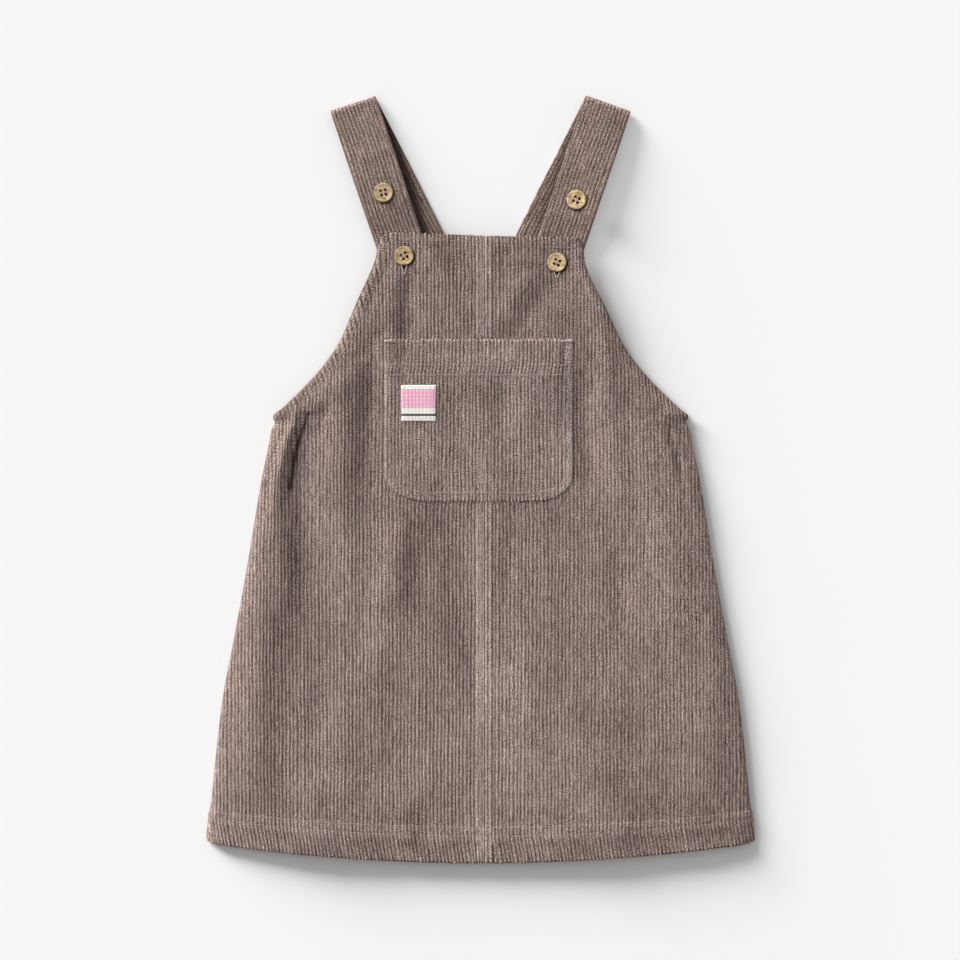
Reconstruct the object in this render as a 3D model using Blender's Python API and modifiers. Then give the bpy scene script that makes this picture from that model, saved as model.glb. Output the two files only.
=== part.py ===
"""Child's corduroy pinafore dress, laid out flat on its back with the straps buttoned to the bib.

X runs across the dress, Y from the hem up to the straps and Z up from the surface it lies on.
The origin is under the middle of the whole, on that surface. Lengths are in metres.
"Left" and "right" are as seen from above, with the straps at the top.
"""

import math

import bmesh
import bpy
import numpy as np

# ---------------------------------------------------------------- driving sizes

LENGTH = 0.537  # hem to the top of the folded straps
HEM_Y = -LENGTH / 2  # lowest point of the hem
CLOTH = 0.0016  # one layer of corduroy
SEAM_GAP = 0.0003  # between pieces that are sewn together
SEAM_X = 0.0032  # the centre front seam lies a little right of the middle

# Half the width of the dress at each height: (height, half width).
SKIRT_SIDE = (
    (-0.2685, 0.1930),
    (-0.2250, 0.1886),
    (-0.1550, 0.1808),
    (-0.1130, 0.1730),
    (-0.0570, 0.1628),
    (0.0000, 0.1534),
    (0.0280, 0.1476),
    (0.0455, 0.1450),
)
FRONT_ARMHOLE = (
    (0.0455, 0.1450),
    (0.0485, 0.1407),
    (0.0553, 0.1330),
    (0.0693, 0.1188),
    (0.0833, 0.1070),
    (0.0973, 0.0980),
    (0.1113, 0.0916),
    (0.1253, 0.0853),
    (0.1393, 0.0784),
    (0.1533, 0.0730),
    (0.1630, 0.0718),
    (0.1700, 0.0690),
)
BACK_ARMHOLE = (
    (0.0455, 0.1450),
    (0.0485, 0.1400),
    (0.0530, 0.1250),
    (0.0620, 0.1060),
    (0.0770, 0.0860),
    (0.0950, 0.0690),
    (0.1120, 0.0560),
    (0.1280, 0.0480),
)
UNDERARM_Y = SKIRT_SIDE[-1][0]
BIB_TOP_Y = FRONT_ARMHOLE[-1][0]
BACK_TOP_Y = BACK_ARMHOLE[-1][0]
BIB_TILT = -0.03  # the bib's top edge drops this much for each metre to the right
HEM_RISE = 0.0140  # the hem curves up by this much at the side seams
HEM_FADE = 0.090  # height over which that curve fades out of the skirt's rows
BACK_HEM_SHORT = 0.0012  # the back hem lies just inside the front one

# How the cloth lies.
SIDE_SEAM_Z = 0.0030  # height of the side seams above the surface
FRONT_TURN = 0.0070  # width of the front's round turn beside each seam
BACK_TURN = 0.0050
SEAM_GROOVE = 0.0019  # between the outer faces at the seam; further in the panels all but meet
FRONT_LIE = 0.0046  # outer face of the front where it lies slack on the back
FRONT_LOWEST = 2 * CLOTH + SEAM_GAP + 0.0001  # and where it is pressed down on it
LOWEST_SOFTNESS = 0.0008
SIDE_ROLL = (0.0026, 0.0140, 0.0150)  # rise of the roll along each side, its place and its spread
ROLL_FADE = 0.0450  # height over which the roll fades out above the underarm
ARMHOLE_LIE = 0.0039  # outer face of the bib at its free side edges
ARMHOLE_DROOP = 0.0160  # width over which the bib sinks to them
OPENS_FROM = 0.0360  # front and back begin to part here, just below the underarm
OPENS_OVER = 0.0240  # and lie flat this much higher
EDGES_PART_SOON = 2.0  # their edges part sooner than their turns flatten

# Largest folds of the front: (x, y) of each end, half width, rise (a trough is negative).
FOLDS = (
    ("left underarm valley", (-0.1195, 0.0450), (-0.1290, -0.0900), 0.0090, -0.0034),
    ("left bib ridge", (-0.1010, 0.0650), (-0.0960, -0.0600), 0.0120, 0.0022),
    ("left pocket valley", (-0.0770, 0.0920), (-0.0800, -0.0300), 0.0085, -0.0018),
    ("left skirt ridge", (-0.0620, -0.0250), (-0.0650, -0.1250), 0.0110, 0.0020),
    ("left skirt valley", (-0.0370, -0.0250), (-0.0430, -0.0900), 0.0100, -0.0018),
    ("left hem valley", (-0.0670, -0.1480), (-0.0910, -0.2250), 0.0130, -0.0014),
    ("right underarm valley", (0.1285, 0.0480), (0.1450, 0.0050), 0.0060, -0.0030),
    ("right side ridge", (0.1170, 0.0500), (0.1330, -0.0900), 0.0180, 0.0018),
    ("right pocket valley", (0.0740, 0.0900), (0.0730, -0.0050), 0.0080, -0.0016),
    ("right bib ridge", (0.0850, 0.0980), (0.0830, 0.0300), 0.0090, 0.0014),
    ("right hem valley", (0.1110, -0.1550), (0.1010, -0.2300), 0.0130, -0.0012),
)

# Straps: a folded band, from the back panel over the shoulder and down behind the bib.
STRAP_WIDTH = 0.0336
STRAP_THICK = 0.0026
TURN_RADIUS = 0.0021  # middle of the band, where it turns over at the shoulder
FRONT_RUN_ANGLE = math.radians(18.6)  # from the shoulder down to the bib
BACK_RUN_ANGLE = math.radians(26.7)  # from the shoulder down to the back panel
TURN_ANGLE = math.radians(19.1)  # square to the crease at the shoulder
TURN_X = 0.0883
TURN_Y = (
    LENGTH / 2
    - (TURN_RADIUS + STRAP_THICK / 2) * math.cos(TURN_ANGLE)
    - STRAP_WIDTH / 2 * math.sin(TURN_ANGLE)
)
ON_FLOOR = STRAP_THICK / 2
ON_BACK = CLOTH + SEAM_GAP + STRAP_THICK / 2
UNDER_BIB = ON_BACK + STRAP_THICK + SEAM_GAP
# Height of the middle of the band along each run: (distance from the turn, height).
FRONT_RUN = (
    (0.0000, ON_FLOOR + 2 * TURN_RADIUS),
    (0.0250, 0.0066),
    (0.0500, 0.0078),
    (0.0700, 0.0077),
    (0.0860, 0.0066),
    (0.0940, UNDER_BIB),
    (0.1310, UNDER_BIB),
)
BACK_RUN = (
    (0.0000, ON_FLOOR),
    (0.1180, ON_FLOOR),
    (0.1400, ON_BACK),
    (0.1580, ON_BACK),
)
BIB_OVER_STRAP = UNDER_BIB + STRAP_THICK / 2 + SEAM_GAP + CLOTH + 0.0004
BIB_OVER_BACK_RUN = 0.0068
COVER_MARGIN = 0.0050  # the bib lies level this far past the edge of a strap
COVER_FADE = 0.0150  # and has come down again after this much more

# Patch pocket, its label and the buttons.
POCKET_HALF = 0.0663
POCKET_TOP_Y = 0.0973
POCKET_BOTTOM_Y = -0.0158
POCKET_CORNER = (0.0270, 0.0200)  # rounded lower corners, across and up
LAID_ON_GAP = 0.0004  # between a panel and what is sewn flat on it
LABEL_X = (-0.0552, -0.0311)
LABEL_Y = (0.0404, 0.0656)
LABEL_THICK = 0.0005
BUTTON_RADIUS = 0.0070
BUTTON_THICK = 0.0030
BUTTON_HOLE_RADIUS = 0.0008
BUTTON_HOLE_SPACING = 0.0031
BUTTON_SIDES = 20
# Each strap's two buttons: (name, side, distance from the turn, shift to the right, how far it is turned).
BUTTONS = (
    ("button_bib_left", -1, 0.1097, 0.0000, 62),
    ("button_bib_right", 1, 0.1145, 0.0016, 25),
    ("button_spare_left", -1, 0.0630, 0.0004, 8),
    ("button_spare_right", 1, 0.0684, 0.0005, 28),
)

# Rows and columns of the panels' meshes. The pocket and the label use the same ones.
CENTRE_COLUMNS = (
    -POCKET_HALF, -0.0570, -0.0480, -0.0390, -0.0300, -0.0210, -0.0120, -0.0040,
    SEAM_X, 0.0120, 0.0210, 0.0300, 0.0390, 0.0480, 0.0570, POCKET_HALF,
)
SKIRT_ROWS = (
    HEM_Y, -0.2610, -0.2480, -0.2330, -0.2150, -0.1950, -0.1750, -0.1550,
    -0.1350, -0.1150, -0.0960, -0.0780, -0.0610, -0.0450, -0.0300,
)
POCKET_ROWS = (
    POCKET_BOTTOM_Y, -0.0146, -0.0113, -0.0057, 0.0042, 0.0160, 0.0260, OPENS_FROM,
    UNDERARM_Y, 0.0485, 0.0553, 0.0640, 0.0740, 0.0850, POCKET_TOP_Y,
)
BIB_ROWS = (
    0.1060, 0.1140, 0.1215, 0.1290, 0.1360, 0.1425, 0.1490, 0.1550, 0.1605,
    0.1655, BIB_TOP_Y,
)
BACK_ROWS = (
    HEM_Y, -0.2610, -0.2480, -0.2150, -0.1750, -0.1350, -0.0960, -0.0610, -0.0300,
    0.0042, 0.0260, OPENS_FROM, UNDERARM_Y, 0.0485, 0.0530, 0.0570, 0.0620,
    0.0770, 0.0950, 0.1120, BACK_TOP_Y,
)
OUTER_BLOCK = 0.0120  # least width between the centre columns and the side edge
OUTER_COLUMNS = 5
TURN_COLUMNS = 4


# ---------------------------------------------------------------- curves and heights

def smooth_curve(table, at):
    """A smooth curve through a table's (place, value) rows that never overshoots them."""
    place, value = np.array(table).T
    steps = np.diff(value) / np.diff(place)
    slope = np.zeros(len(place))
    slope[[0, -1]] = steps[[0, -1]]
    same_way = steps[:-1] * steps[1:] > 0
    pairs = np.where(same_way, steps[:-1] + steps[1:], 1)
    slope[1:-1] = np.where(same_way, 2 * steps[:-1] * steps[1:] / pairs, 0)
    at = np.asarray(at, float)
    k = np.clip(np.searchsorted(place, at) - 1, 0, len(place) - 2)
    step = place[k + 1] - place[k]
    t = np.clip((at - place[k]) / step, 0, 1)
    start = (1 + 2 * t) * (1 - t) ** 2 * value[k] + t * (1 - t) ** 2 * step * slope[k]
    end = t * t * (3 - 2 * t) * value[k + 1] - t * t * (1 - t) * step * slope[k + 1]
    return start + end


def ease(t):
    """0 below 0, 1 above 1 and smooth between."""
    t = np.clip(t, 0, 1)
    return t * t * (3 - 2 * t)


def half_width(y, armhole):
    return np.where(y <= UNDERARM_Y, smooth_curve(SKIRT_SIDE, y), smooth_curve(armhole, y))


def along_and_across(x, y, start, end):
    """Where a point lies beside a straight line: along it from its start, off it, and its length."""
    dx, dy = end[0] - start[0], end[1] - start[1]
    length = math.hypot(dx, dy)
    along = ((x - start[0]) * dx + (y - start[1]) * dy) / length
    across = ((x - start[0]) * dy - (y - start[1]) * dx) / length
    return along, across, length


def fold_rise(x, y):
    """Rise of the front's folds: each is a soft ridge or trough that fades out at its ends."""
    total = np.zeros(np.shape(x))
    for _, start, end, spread, rise in FOLDS:
        along, across, length = along_and_across(x, y, start, end)
        past = np.maximum(np.abs(along - length / 2) - length / 2, 0)
        inside = np.clip(1 - np.abs(2 * along / length - 1), 0, 1)
        strength = 0.35 + 0.65 * ease(1.6 * inside)
        total += rise * strength * np.exp(-((across / spread) ** 2) - (past / (2 * spread)) ** 2)
    return total


def strap_place(side, angle, distance):
    """A point on the middle line of a strap's run, in plan."""
    return (
        side * (TURN_X - distance * math.sin(angle)),
        TURN_Y - distance * math.cos(angle),
    )


def strap_cover(x, y, angle, ends):
    """1 over a stretch of either strap's run, falling to 0 away from it."""
    cover = np.zeros(np.shape(x))
    for side in (-1, 1):
        start, end = (strap_place(side, angle, distance) for distance in ends)
        along, across, length = along_and_across(x, y, start, end)
        past_end = np.abs(along - length / 2) - length / 2
        past_side = np.abs(across) - STRAP_WIDTH / 2
        away = np.hypot(np.maximum(past_end, 0), np.maximum(past_side, 0)) - COVER_MARGIN
        cover = np.maximum(cover, 1 - ease(away / COVER_FADE))
    return cover


def front_height(x, y):
    """Height of the front's outer face, away from the turn at its side seams."""
    inside = half_width(y, FRONT_ARMHOLE) - np.abs(x)
    on_skirt = 1 - ease((y - UNDERARM_Y) / ROLL_FADE)
    rise, place, spread = SIDE_ROLL
    roll = rise * np.exp(-(((inside - place) / spread) ** 2)) * on_skirt
    above = FRONT_LIE + roll + fold_rise(x, y) - FRONT_LOWEST
    return FRONT_LOWEST + (above + np.hypot(above, LOWEST_SOFTNESS)) / 2


def over_straps(z, x, y):
    """The front lies over the straps that pass under the bib."""
    back_run = strap_cover(x, y, BACK_RUN_ANGLE, (0.080, BACK_RUN[-1][0]))
    z = z + np.maximum(BIB_OVER_BACK_RUN - z, 0) * back_run
    front_run = strap_cover(x, y, FRONT_RUN_ANGLE, (0.085, FRONT_RUN[-1][0]))
    return z + (BIB_OVER_STRAP - z) * front_run


# ---------------------------------------------------------------- panels as grids of points

def side_columns(half, turn, opened):
    """x of the columns from the centre block to the side edge, at one row's half width."""
    block = min(POCKET_HALF, half - OUTER_BLOCK)
    flat = block + (half - turn - block) * np.linspace(0, 1, OUTER_COLUMNS + 1)[1:]
    share = np.linspace(0, 1, TURN_COLUMNS + 1)[1:-1]
    share_sewn = np.sin(share * math.pi / 2)
    evenly = min(1, EDGES_PART_SOON * opened)
    inset = turn * (1 - share_sewn + (share_sewn - share) * evenly)
    return block / POCKET_HALF, np.concatenate([flat, half - inset, [half]])


def turn_share(inside, turn):
    """Height of the round turn beside a seam, from 0 at the seam to 1 where it levels out."""
    return np.sqrt(1 - np.clip(1 - inside / turn, 0, 1) ** 2)


def opening(row):
    """How far the turn has flattened out at a row near the armhole, and how far the edges are apart."""
    opened = float(ease((row - OPENS_FROM) / OPENS_OVER))
    return opened, min(1.0, EDGES_PART_SOON * opened)


def hem_shift(x, row):
    """The hem's curve, which fades out of the rows above it."""
    return HEM_RISE * (x / SKIRT_SIDE[0][1]) ** 2 * (1 - ease((row - HEM_Y) / HEM_FADE))


def front_row(row, side):
    """Points of one row of a front panel, from the centre seam out to the side edge."""
    edge_y = row + hem_shift(SKIRT_SIDE[0][1], row)
    half = float(half_width(edge_y, FRONT_ARMHOLE))
    opened, apart = opening(row)
    scale, outer = side_columns(half, FRONT_TURN, opened)
    centre = np.array([c for c in CENTRE_COLUMNS if c * side > SEAM_X * side])
    centre = np.sort(centre * side) * scale
    x = np.concatenate([[SEAM_X * side + SEAM_GAP / 2], centre, outer]) * side
    y = row + hem_shift(x, row) + BIB_TILT * x * ease((row - POCKET_TOP_Y) / 0.060)
    inside = np.maximum(half - np.abs(x), 0)
    # The panel turns down at the side seam, and the free side edge of the bib sinks down.
    sewn = turn_share(inside, FRONT_TURN)
    free = 1 - np.clip(1 - inside / ARMHOLE_DROOP, 0, 1) ** 2
    foot = SIDE_SEAM_Z + SEAM_GROOVE / 2
    edge_z = foot + (ARMHOLE_LIE - foot) * apart
    z = edge_z + (front_height(x, y) - edge_z) * (sewn + (free - sewn) * opened)
    return np.stack([x, y, over_straps(z, x, y)], 1)


def back_row(row):
    """Points of one row of the back panel, from its left edge to its right edge."""
    edge_y = row + hem_shift(SKIRT_SIDE[0][1], row)
    half = float(half_width(edge_y, BACK_ARMHOLE))
    opened, apart = opening(row)
    scale, outer = side_columns(half, BACK_TURN, opened)
    centre = np.array(CENTRE_COLUMNS[::2] + CENTRE_COLUMNS[-1:]) * scale
    x = np.concatenate([-outer[::-1], centre, outer])
    y = row + hem_shift(x, row) + BACK_HEM_SHORT * (1 - ease((row - HEM_Y) / HEM_FADE))
    inside = np.maximum(half - np.abs(x), 0)
    edge_z = (SIDE_SEAM_Z - SEAM_GROOVE / 2) * (1 - apart)
    return np.stack([x, y, edge_z * (1 - turn_share(inside, BACK_TURN))], 1)


def facet_height(x, y):
    """Height of the front panels' flat facets, in their square middle part."""
    columns = np.array(CENTRE_COLUMNS)
    rows = np.array(SKIRT_ROWS + POCKET_ROWS + BIB_ROWS)
    i = int(np.clip(np.searchsorted(columns, x) - 1, 0, len(columns) - 2))
    j = int(np.clip(np.searchsorted(rows, y) - 1, 0, len(rows) - 2))
    u = (x - columns[i]) / (columns[i + 1] - columns[i])
    v = (y - rows[j]) / (rows[j + 1] - rows[j])
    corner_x, corner_y = np.meshgrid(columns[i:i + 2], rows[j:j + 2])
    z = over_straps(front_height(corner_x, corner_y), corner_x, corner_y)
    return float(np.array([1 - v, v]) @ z @ np.array([1 - u, u]))


def between(lines, low, high):
    """The grid lines inside a range, with its two ends."""
    return [low] + [line for line in lines if low + 1e-4 < line < high - 1e-4] + [high]


def pocket_points():
    """The pocket's outer face: the front's points moved out, drawn in at the round corners."""
    corner_x, corner_y = POCKET_CORNER
    rows = []
    for y in POCKET_ROWS:
        up = np.clip(1 - (y - POCKET_BOTTOM_Y) / corner_y, 0, 1)
        edge = POCKET_HALF - corner_x * (1 - math.sqrt(1 - up**2))
        columns = np.clip(CENTRE_COLUMNS, -edge, edge)
        # Columns that the corner would push together share the last stretch evenly.
        whole = np.abs(CENTRE_COLUMNS) < edge - 0.004
        first, last = np.flatnonzero(whole)[[0, -1]]
        columns[:first + 1] = np.linspace(-edge, columns[first], first + 1)
        columns[last:] = np.linspace(columns[last], edge, len(columns) - last)
        rows.append([(x, y, facet_height(x, y) + LAID_ON_GAP + CLOTH) for x in columns])
    return np.array(rows)


def label_points():
    """The label's outer face, on the pocket."""
    lift = LAID_ON_GAP + CLOTH + LAID_ON_GAP + LABEL_THICK
    return np.array([
        [(x, y, facet_height(x, y) + lift) for x in between(CENTRE_COLUMNS, *LABEL_X)]
        for y in between(POCKET_ROWS, *LABEL_Y)
    ])


def strap_points(side):
    """The middle of a strap's band: along the back run, over the shoulder and down the front run."""
    stations = []
    for distance in np.linspace(BACK_RUN[-1][0], 0.006, 22):
        straighten = ease(distance / 0.060)
        angle = TURN_ANGLE + (BACK_RUN_ANGLE - TURN_ANGLE) * straighten
        place = strap_place(side, BACK_RUN_ANGLE, distance)
        stations.append((*place, float(smooth_curve(BACK_RUN, distance)), angle))
    for turn in np.linspace(0, math.pi, 9):
        out = -TURN_RADIUS * math.sin(turn)
        z = ON_FLOOR + TURN_RADIUS * (1 - math.cos(turn))
        stations.append((*strap_place(side, TURN_ANGLE, out), z, TURN_ANGLE))
    for distance in np.linspace(0.006, FRONT_RUN[-1][0], 22):
        place = strap_place(side, FRONT_RUN_ANGLE, distance)
        stations.append((*place, float(smooth_curve(FRONT_RUN, distance)), FRONT_RUN_ANGLE))
    rows = []
    for x, y, z, angle in stations:
        across = np.array([math.cos(angle), -side * math.sin(angle), 0]) * STRAP_WIDTH / 2
        rows.append([np.array([x, y, z]) + share * across for share in (-1, 0, 1)])
    return np.array(rows)


# ---------------------------------------------------------------- objects

def clear_scene():
    for obj in list(bpy.data.objects):
        bpy.data.objects.remove(obj, do_unlink=True)


def collection(name, hidden=False):
    made = bpy.data.collections.new(name)
    bpy.context.scene.collection.children.link(made)
    made.hide_render = hidden
    return made


def material(name, colour, roughness):
    made = bpy.data.materials.new(name)
    made.use_nodes = True
    shader = made.node_tree.nodes["Principled BSDF"]
    shader.inputs["Base Color"].default_value = (*colour, 1)
    shader.inputs["Roughness"].default_value = roughness
    made.diffuse_color = (*colour, 1)
    return made


def grid_mesh(name, points):
    """A grid whose points are then put where they belong: points[row, column]."""
    rows, columns = points.shape[:2]
    build = bmesh.new()
    bmesh.ops.create_grid(build, x_segments=columns - 1, y_segments=rows - 1, size=0.5)
    for vertex in build.verts:
        column = round((vertex.co.x + 0.5) * (columns - 1))
        row = round((vertex.co.y + 0.5) * (rows - 1))
        vertex.co = points[row, column]
    mesh = bpy.data.meshes.new(name)
    build.to_mesh(mesh)
    build.free()
    mesh.shade_smooth()
    return mesh


def cloth_panel(name, points, thickness, grows, look, parts):
    """A cloth wall: a grid that Solidify thickens, inwards for grows -1 and outwards for 1."""
    mesh = grid_mesh(name, points)
    mesh.materials.append(look)
    obj = bpy.data.objects.new(name, mesh)
    parts.objects.link(obj)
    wall = obj.modifiers.new("Wall", "SOLIDIFY")
    wall.thickness = thickness
    wall.offset = grows
    return obj


def button_mesh(look, cutters):
    """A turned button with a raised rim and four sewing holes."""
    dish = BUTTON_THICK - 0.0008
    profile = (
        (0.0000, dish),
        (0.0042, dish),
        (0.0052, BUTTON_THICK - 0.0001),
        (0.0061, BUTTON_THICK),
        (BUTTON_RADIUS, 0.0021),
        (BUTTON_RADIUS, 0.0009),
        (0.0058, 0.0000),
        (0.0000, 0.0000),
    )
    mesh = bpy.data.meshes.new("button_profile")
    links = [(k, k + 1) for k in range(len(profile) - 1)]
    mesh.from_pydata([(radius, 0, z) for radius, z in profile], links, [])
    blank = bpy.data.objects.new("button_blank", mesh)
    cutters.objects.link(blank)
    turned = blank.modifiers.new("Turn", "SCREW")
    turned.steps = turned.render_steps = BUTTON_SIDES
    turned.use_merge_vertices = True
    turned.merge_threshold = 0.0001

    holes = bmesh.new()
    for across in (-0.5, 0.5):
        for along in (-0.5, 0.5):
            made = bmesh.ops.create_cone(
                holes, cap_ends=True, segments=8, depth=3 * BUTTON_THICK,
                radius1=BUTTON_HOLE_RADIUS, radius2=BUTTON_HOLE_RADIUS,
            )
            place = (across * BUTTON_HOLE_SPACING, along * BUTTON_HOLE_SPACING, 0)
            bmesh.ops.translate(holes, verts=made["verts"], vec=place)
    drill_mesh = bpy.data.meshes.new("button_drill")
    holes.to_mesh(drill_mesh)
    holes.free()
    drill = bpy.data.objects.new("button_drill", drill_mesh)
    cutters.objects.link(drill)
    cut = blank.modifiers.new("Holes", "BOOLEAN")
    cut.operation = "DIFFERENCE"
    cut.object = drill
    for helper in (blank, drill):
        helper.hide_render = True
        helper.display_type = "WIRE"

    graph = bpy.context.evaluated_depsgraph_get()
    finished = bpy.data.meshes.new_from_object(blank.evaluated_get(graph))
    finished.name = "button"
    finished.set_sharp_from_angle(angle=math.radians(40))
    finished.materials.clear()
    finished.materials.append(look)
    return finished


def add_button(name, side, distance, shift, turn, mesh, parts):
    """A button near a strap's middle line: on the bib where the bib covers it, else on the strap."""
    x, y = strap_place(side, FRONT_RUN_ANGLE, distance)
    through_bib = distance > FRONT_RUN[-2][0]
    under = BIB_OVER_STRAP if through_bib else float(smooth_curve(FRONT_RUN, distance)) + STRAP_THICK / 2
    obj = bpy.data.objects.new(name, mesh)
    parts.objects.link(obj)
    obj.location = (x + shift, y, under + SEAM_GAP)
    obj.rotation_euler = (0, 0, math.radians(turn))


def main():
    clear_scene()
    parts = collection("pinafore_dress")
    cutters = collection("cutters", hidden=True)
    corduroy = material("corduroy", (0.262, 0.192, 0.170), 0.95)
    strap_cloth = material("strap_corduroy", (0.262, 0.192, 0.170), 0.95)
    label_cloth = material("label_cotton", (0.86, 0.82, 0.72), 0.85)
    nut = material("button_nut", (0.55, 0.42, 0.23), 0.45)

    rows = SKIRT_ROWS + POCKET_ROWS + BIB_ROWS
    left = np.array([front_row(row, -1)[::-1] for row in rows])
    right = np.array([front_row(row, 1) for row in rows])
    cloth_panel("front_left", left, CLOTH, -1, corduroy, parts)
    cloth_panel("front_right", right, CLOTH, -1, corduroy, parts)

    back = np.array([back_row(row) for row in BACK_ROWS])
    cloth_panel("back", back, CLOTH, 1, corduroy, parts)

    cloth_panel("pocket", pocket_points(), CLOTH, -1, corduroy, parts)
    cloth_panel("label", label_points(), LABEL_THICK, -1, label_cloth, parts)
    for name, side in (("strap_left", -1), ("strap_right", 1)):
        cloth_panel(name, strap_points(side), STRAP_THICK, 0, strap_cloth, parts)

    button = button_mesh(nut, cutters)
    for name, side, distance, shift, turn in BUTTONS:
        add_button(name, side, distance, shift, turn, button, parts)


main()
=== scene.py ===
import math

import bmesh
import bpy
import numpy as np
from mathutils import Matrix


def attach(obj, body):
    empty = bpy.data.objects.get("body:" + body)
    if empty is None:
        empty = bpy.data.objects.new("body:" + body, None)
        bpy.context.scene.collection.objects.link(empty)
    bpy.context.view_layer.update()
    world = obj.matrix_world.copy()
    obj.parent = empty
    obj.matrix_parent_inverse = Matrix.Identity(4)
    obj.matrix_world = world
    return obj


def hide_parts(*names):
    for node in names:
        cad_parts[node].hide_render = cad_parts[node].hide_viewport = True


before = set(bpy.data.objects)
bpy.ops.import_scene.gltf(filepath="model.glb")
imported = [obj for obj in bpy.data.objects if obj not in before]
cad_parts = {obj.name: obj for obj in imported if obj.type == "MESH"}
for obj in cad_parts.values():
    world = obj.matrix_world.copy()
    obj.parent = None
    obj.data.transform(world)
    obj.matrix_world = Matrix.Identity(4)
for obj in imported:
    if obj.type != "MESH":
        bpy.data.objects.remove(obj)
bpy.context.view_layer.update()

# ------------------------------------------------------------------ back panel
# The back is cut in one piece from the same corduroy as the front, ten wales to the inch.
# It lies on the surface, a little short of the front's hem, and its sides turn up to the
# side seams. Above the underarms it narrows to the width of the two straps.

HEM_Y = -0.2685
HEM_RISE = 0.0140  # how much higher the hem is at its corners than in its middle
HEM_FADE = 0.090
BACK_HEM_SHORT = 0.0012
HEM_CORNER = 0.0042
HEM_BAND = 0.0252  # height of the turned hem, which stands out a little at the sides
HEM_FLARE = 0.0009
NOTCH = 0.0018
NOTCH_Y = 0.0390
SKIRT_SIDE = (  # height, half width
    (-0.2685, 0.1930),
    (-0.2250, 0.1886),
    (-0.1550, 0.1808),
    (-0.1130, 0.1730),
    (-0.0570, 0.1628),
    (0.0000, 0.1534),
    (0.0280, 0.1476),
    (0.0455, 0.1450),
)
BACK_ARMHOLE = (
    (0.0455, 0.1450),
    (0.0485, 0.1400),
    (0.0530, 0.1250),
    (0.0620, 0.1060),
    (0.0770, 0.0860),
    (0.0950, 0.0690),
    (0.1120, 0.0560),
    (0.1280, 0.0480),
)
UNDERARM_Y = SKIRT_SIDE[-1][0]
BACK_TOP_Y = BACK_ARMHOLE[-1][0]
SIDE_SEAM_Z = 0.0030
SEAM_GROOVE = 0.0006  # the two panels all but meet where they are sewn
BACK_TURN = 0.0050
OPENS_FROM = 0.0360
OPENS_OVER = 0.0240
EDGES_PART_SOON = 2.0

WALE = 0.00259  # width of one wale
WALE_DEPTH = 0.00050
WALE_UNEVEN = 0.13  # of its width, how far a furrow may be out of its place
WALE_ROUND = 2.4  # how flat a wale's back is
WALE_SAMPLES = 5  # columns of the mesh for each wale
CLOTH = 0.0015
SNAP = 0.00012  # a column this near to the edge ends on it
MILLIMETRES = 1000  # the cloth's material counts along the wales in millimetres


def smooth_curve(table, at):
    """A smooth curve through a table's (place, value) rows that never overshoots them."""
    place, value = np.array(table).T
    steps = np.diff(value) / np.diff(place)
    slope = np.zeros(len(place))
    slope[[0, -1]] = steps[[0, -1]]
    same_way = steps[:-1] * steps[1:] > 0
    pairs = np.where(same_way, steps[:-1] + steps[1:], 1)
    slope[1:-1] = np.where(same_way, 2 * steps[:-1] * steps[1:] / pairs, 0)
    at = np.asarray(at, float)
    k = np.clip(np.searchsorted(place, at) - 1, 0, len(place) - 2)
    step = place[k + 1] - place[k]
    t = np.clip((at - place[k]) / step, 0, 1)
    start = (1 + 2 * t) * (1 - t) ** 2 * value[k] + t * (1 - t) ** 2 * step * slope[k]
    end = t * t * (3 - 2 * t) * value[k + 1] - t * t * (1 - t) * step * slope[k + 1]
    return start + end


def ease(t):
    """0 below 0, 1 above 1 and smooth between."""
    t = np.clip(t, 0, 1)
    return t * t * (3 - 2 * t)


def fade(value, start, over):
    """1 up to a start, then smoothly down to 0."""
    return 1 - ease((value - start) / over)


def bell(distance, spread):
    """1 at no distance and falling to 0 on both sides."""
    return np.exp(-((distance / spread) ** 2))


def left_of(distance, reach):
    """1 at an edge, and straight down to 0 at a distance from it."""
    return np.clip(1 - distance / reach, 0, 1)


def turn_share(inside, turn):
    """Height of a round turn, from 0 at the edge to 1 where it levels out."""
    return np.sqrt(1 - left_of(inside, turn) ** 2)


def half_width(y, armhole):
    """Half of a panel's width. The side seam is drawn in just below the armhole's band."""
    sides = np.where(y <= UNDERARM_Y, smooth_curve(SKIRT_SIDE, y), smooth_curve(armhole, y))
    return sides - NOTCH * bell(y - NOTCH_Y, 0.0028)


def hem_shift(x, row):
    """The hem's curve, which fades out of the rows above it."""
    return HEM_RISE * (x / SKIRT_SIDE[0][1]) ** 2 * fade(row, HEM_Y, HEM_FADE)


def side_edge(row, armhole):
    """Half width of a row of the mesh: the turned hem stands out and its corners are rounded."""
    inset = HEM_CORNER * 0.7 * (1 - turn_share(row - HEM_Y, HEM_CORNER))
    flare = HEM_FLARE * fade(row - HEM_Y, HEM_BAND, 0.0030)
    return half_width(row + hem_shift(SKIRT_SIDE[0][1], row), armhole) + flare - inset


def seam_height(row):
    """The side seams run down to the surface at the hem's corners."""
    return SIDE_SEAM_Z * (1 - 0.75 * fade(row, HEM_Y, 0.050))


def opening(row):
    """How far the turn has flattened out near the armhole, and how far the edges are apart."""
    opened = ease((row - OPENS_FROM) / OPENS_OVER)
    return opened, np.minimum(1.0, EDGES_PART_SOON * opened)


def chance(n, salt):
    """A fixed random number from -1 to 1 for each whole number."""
    return 2 * np.mod(np.sin(n * 12.9898 + salt * 78.233) * 43758.5453, 1) - 1


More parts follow.
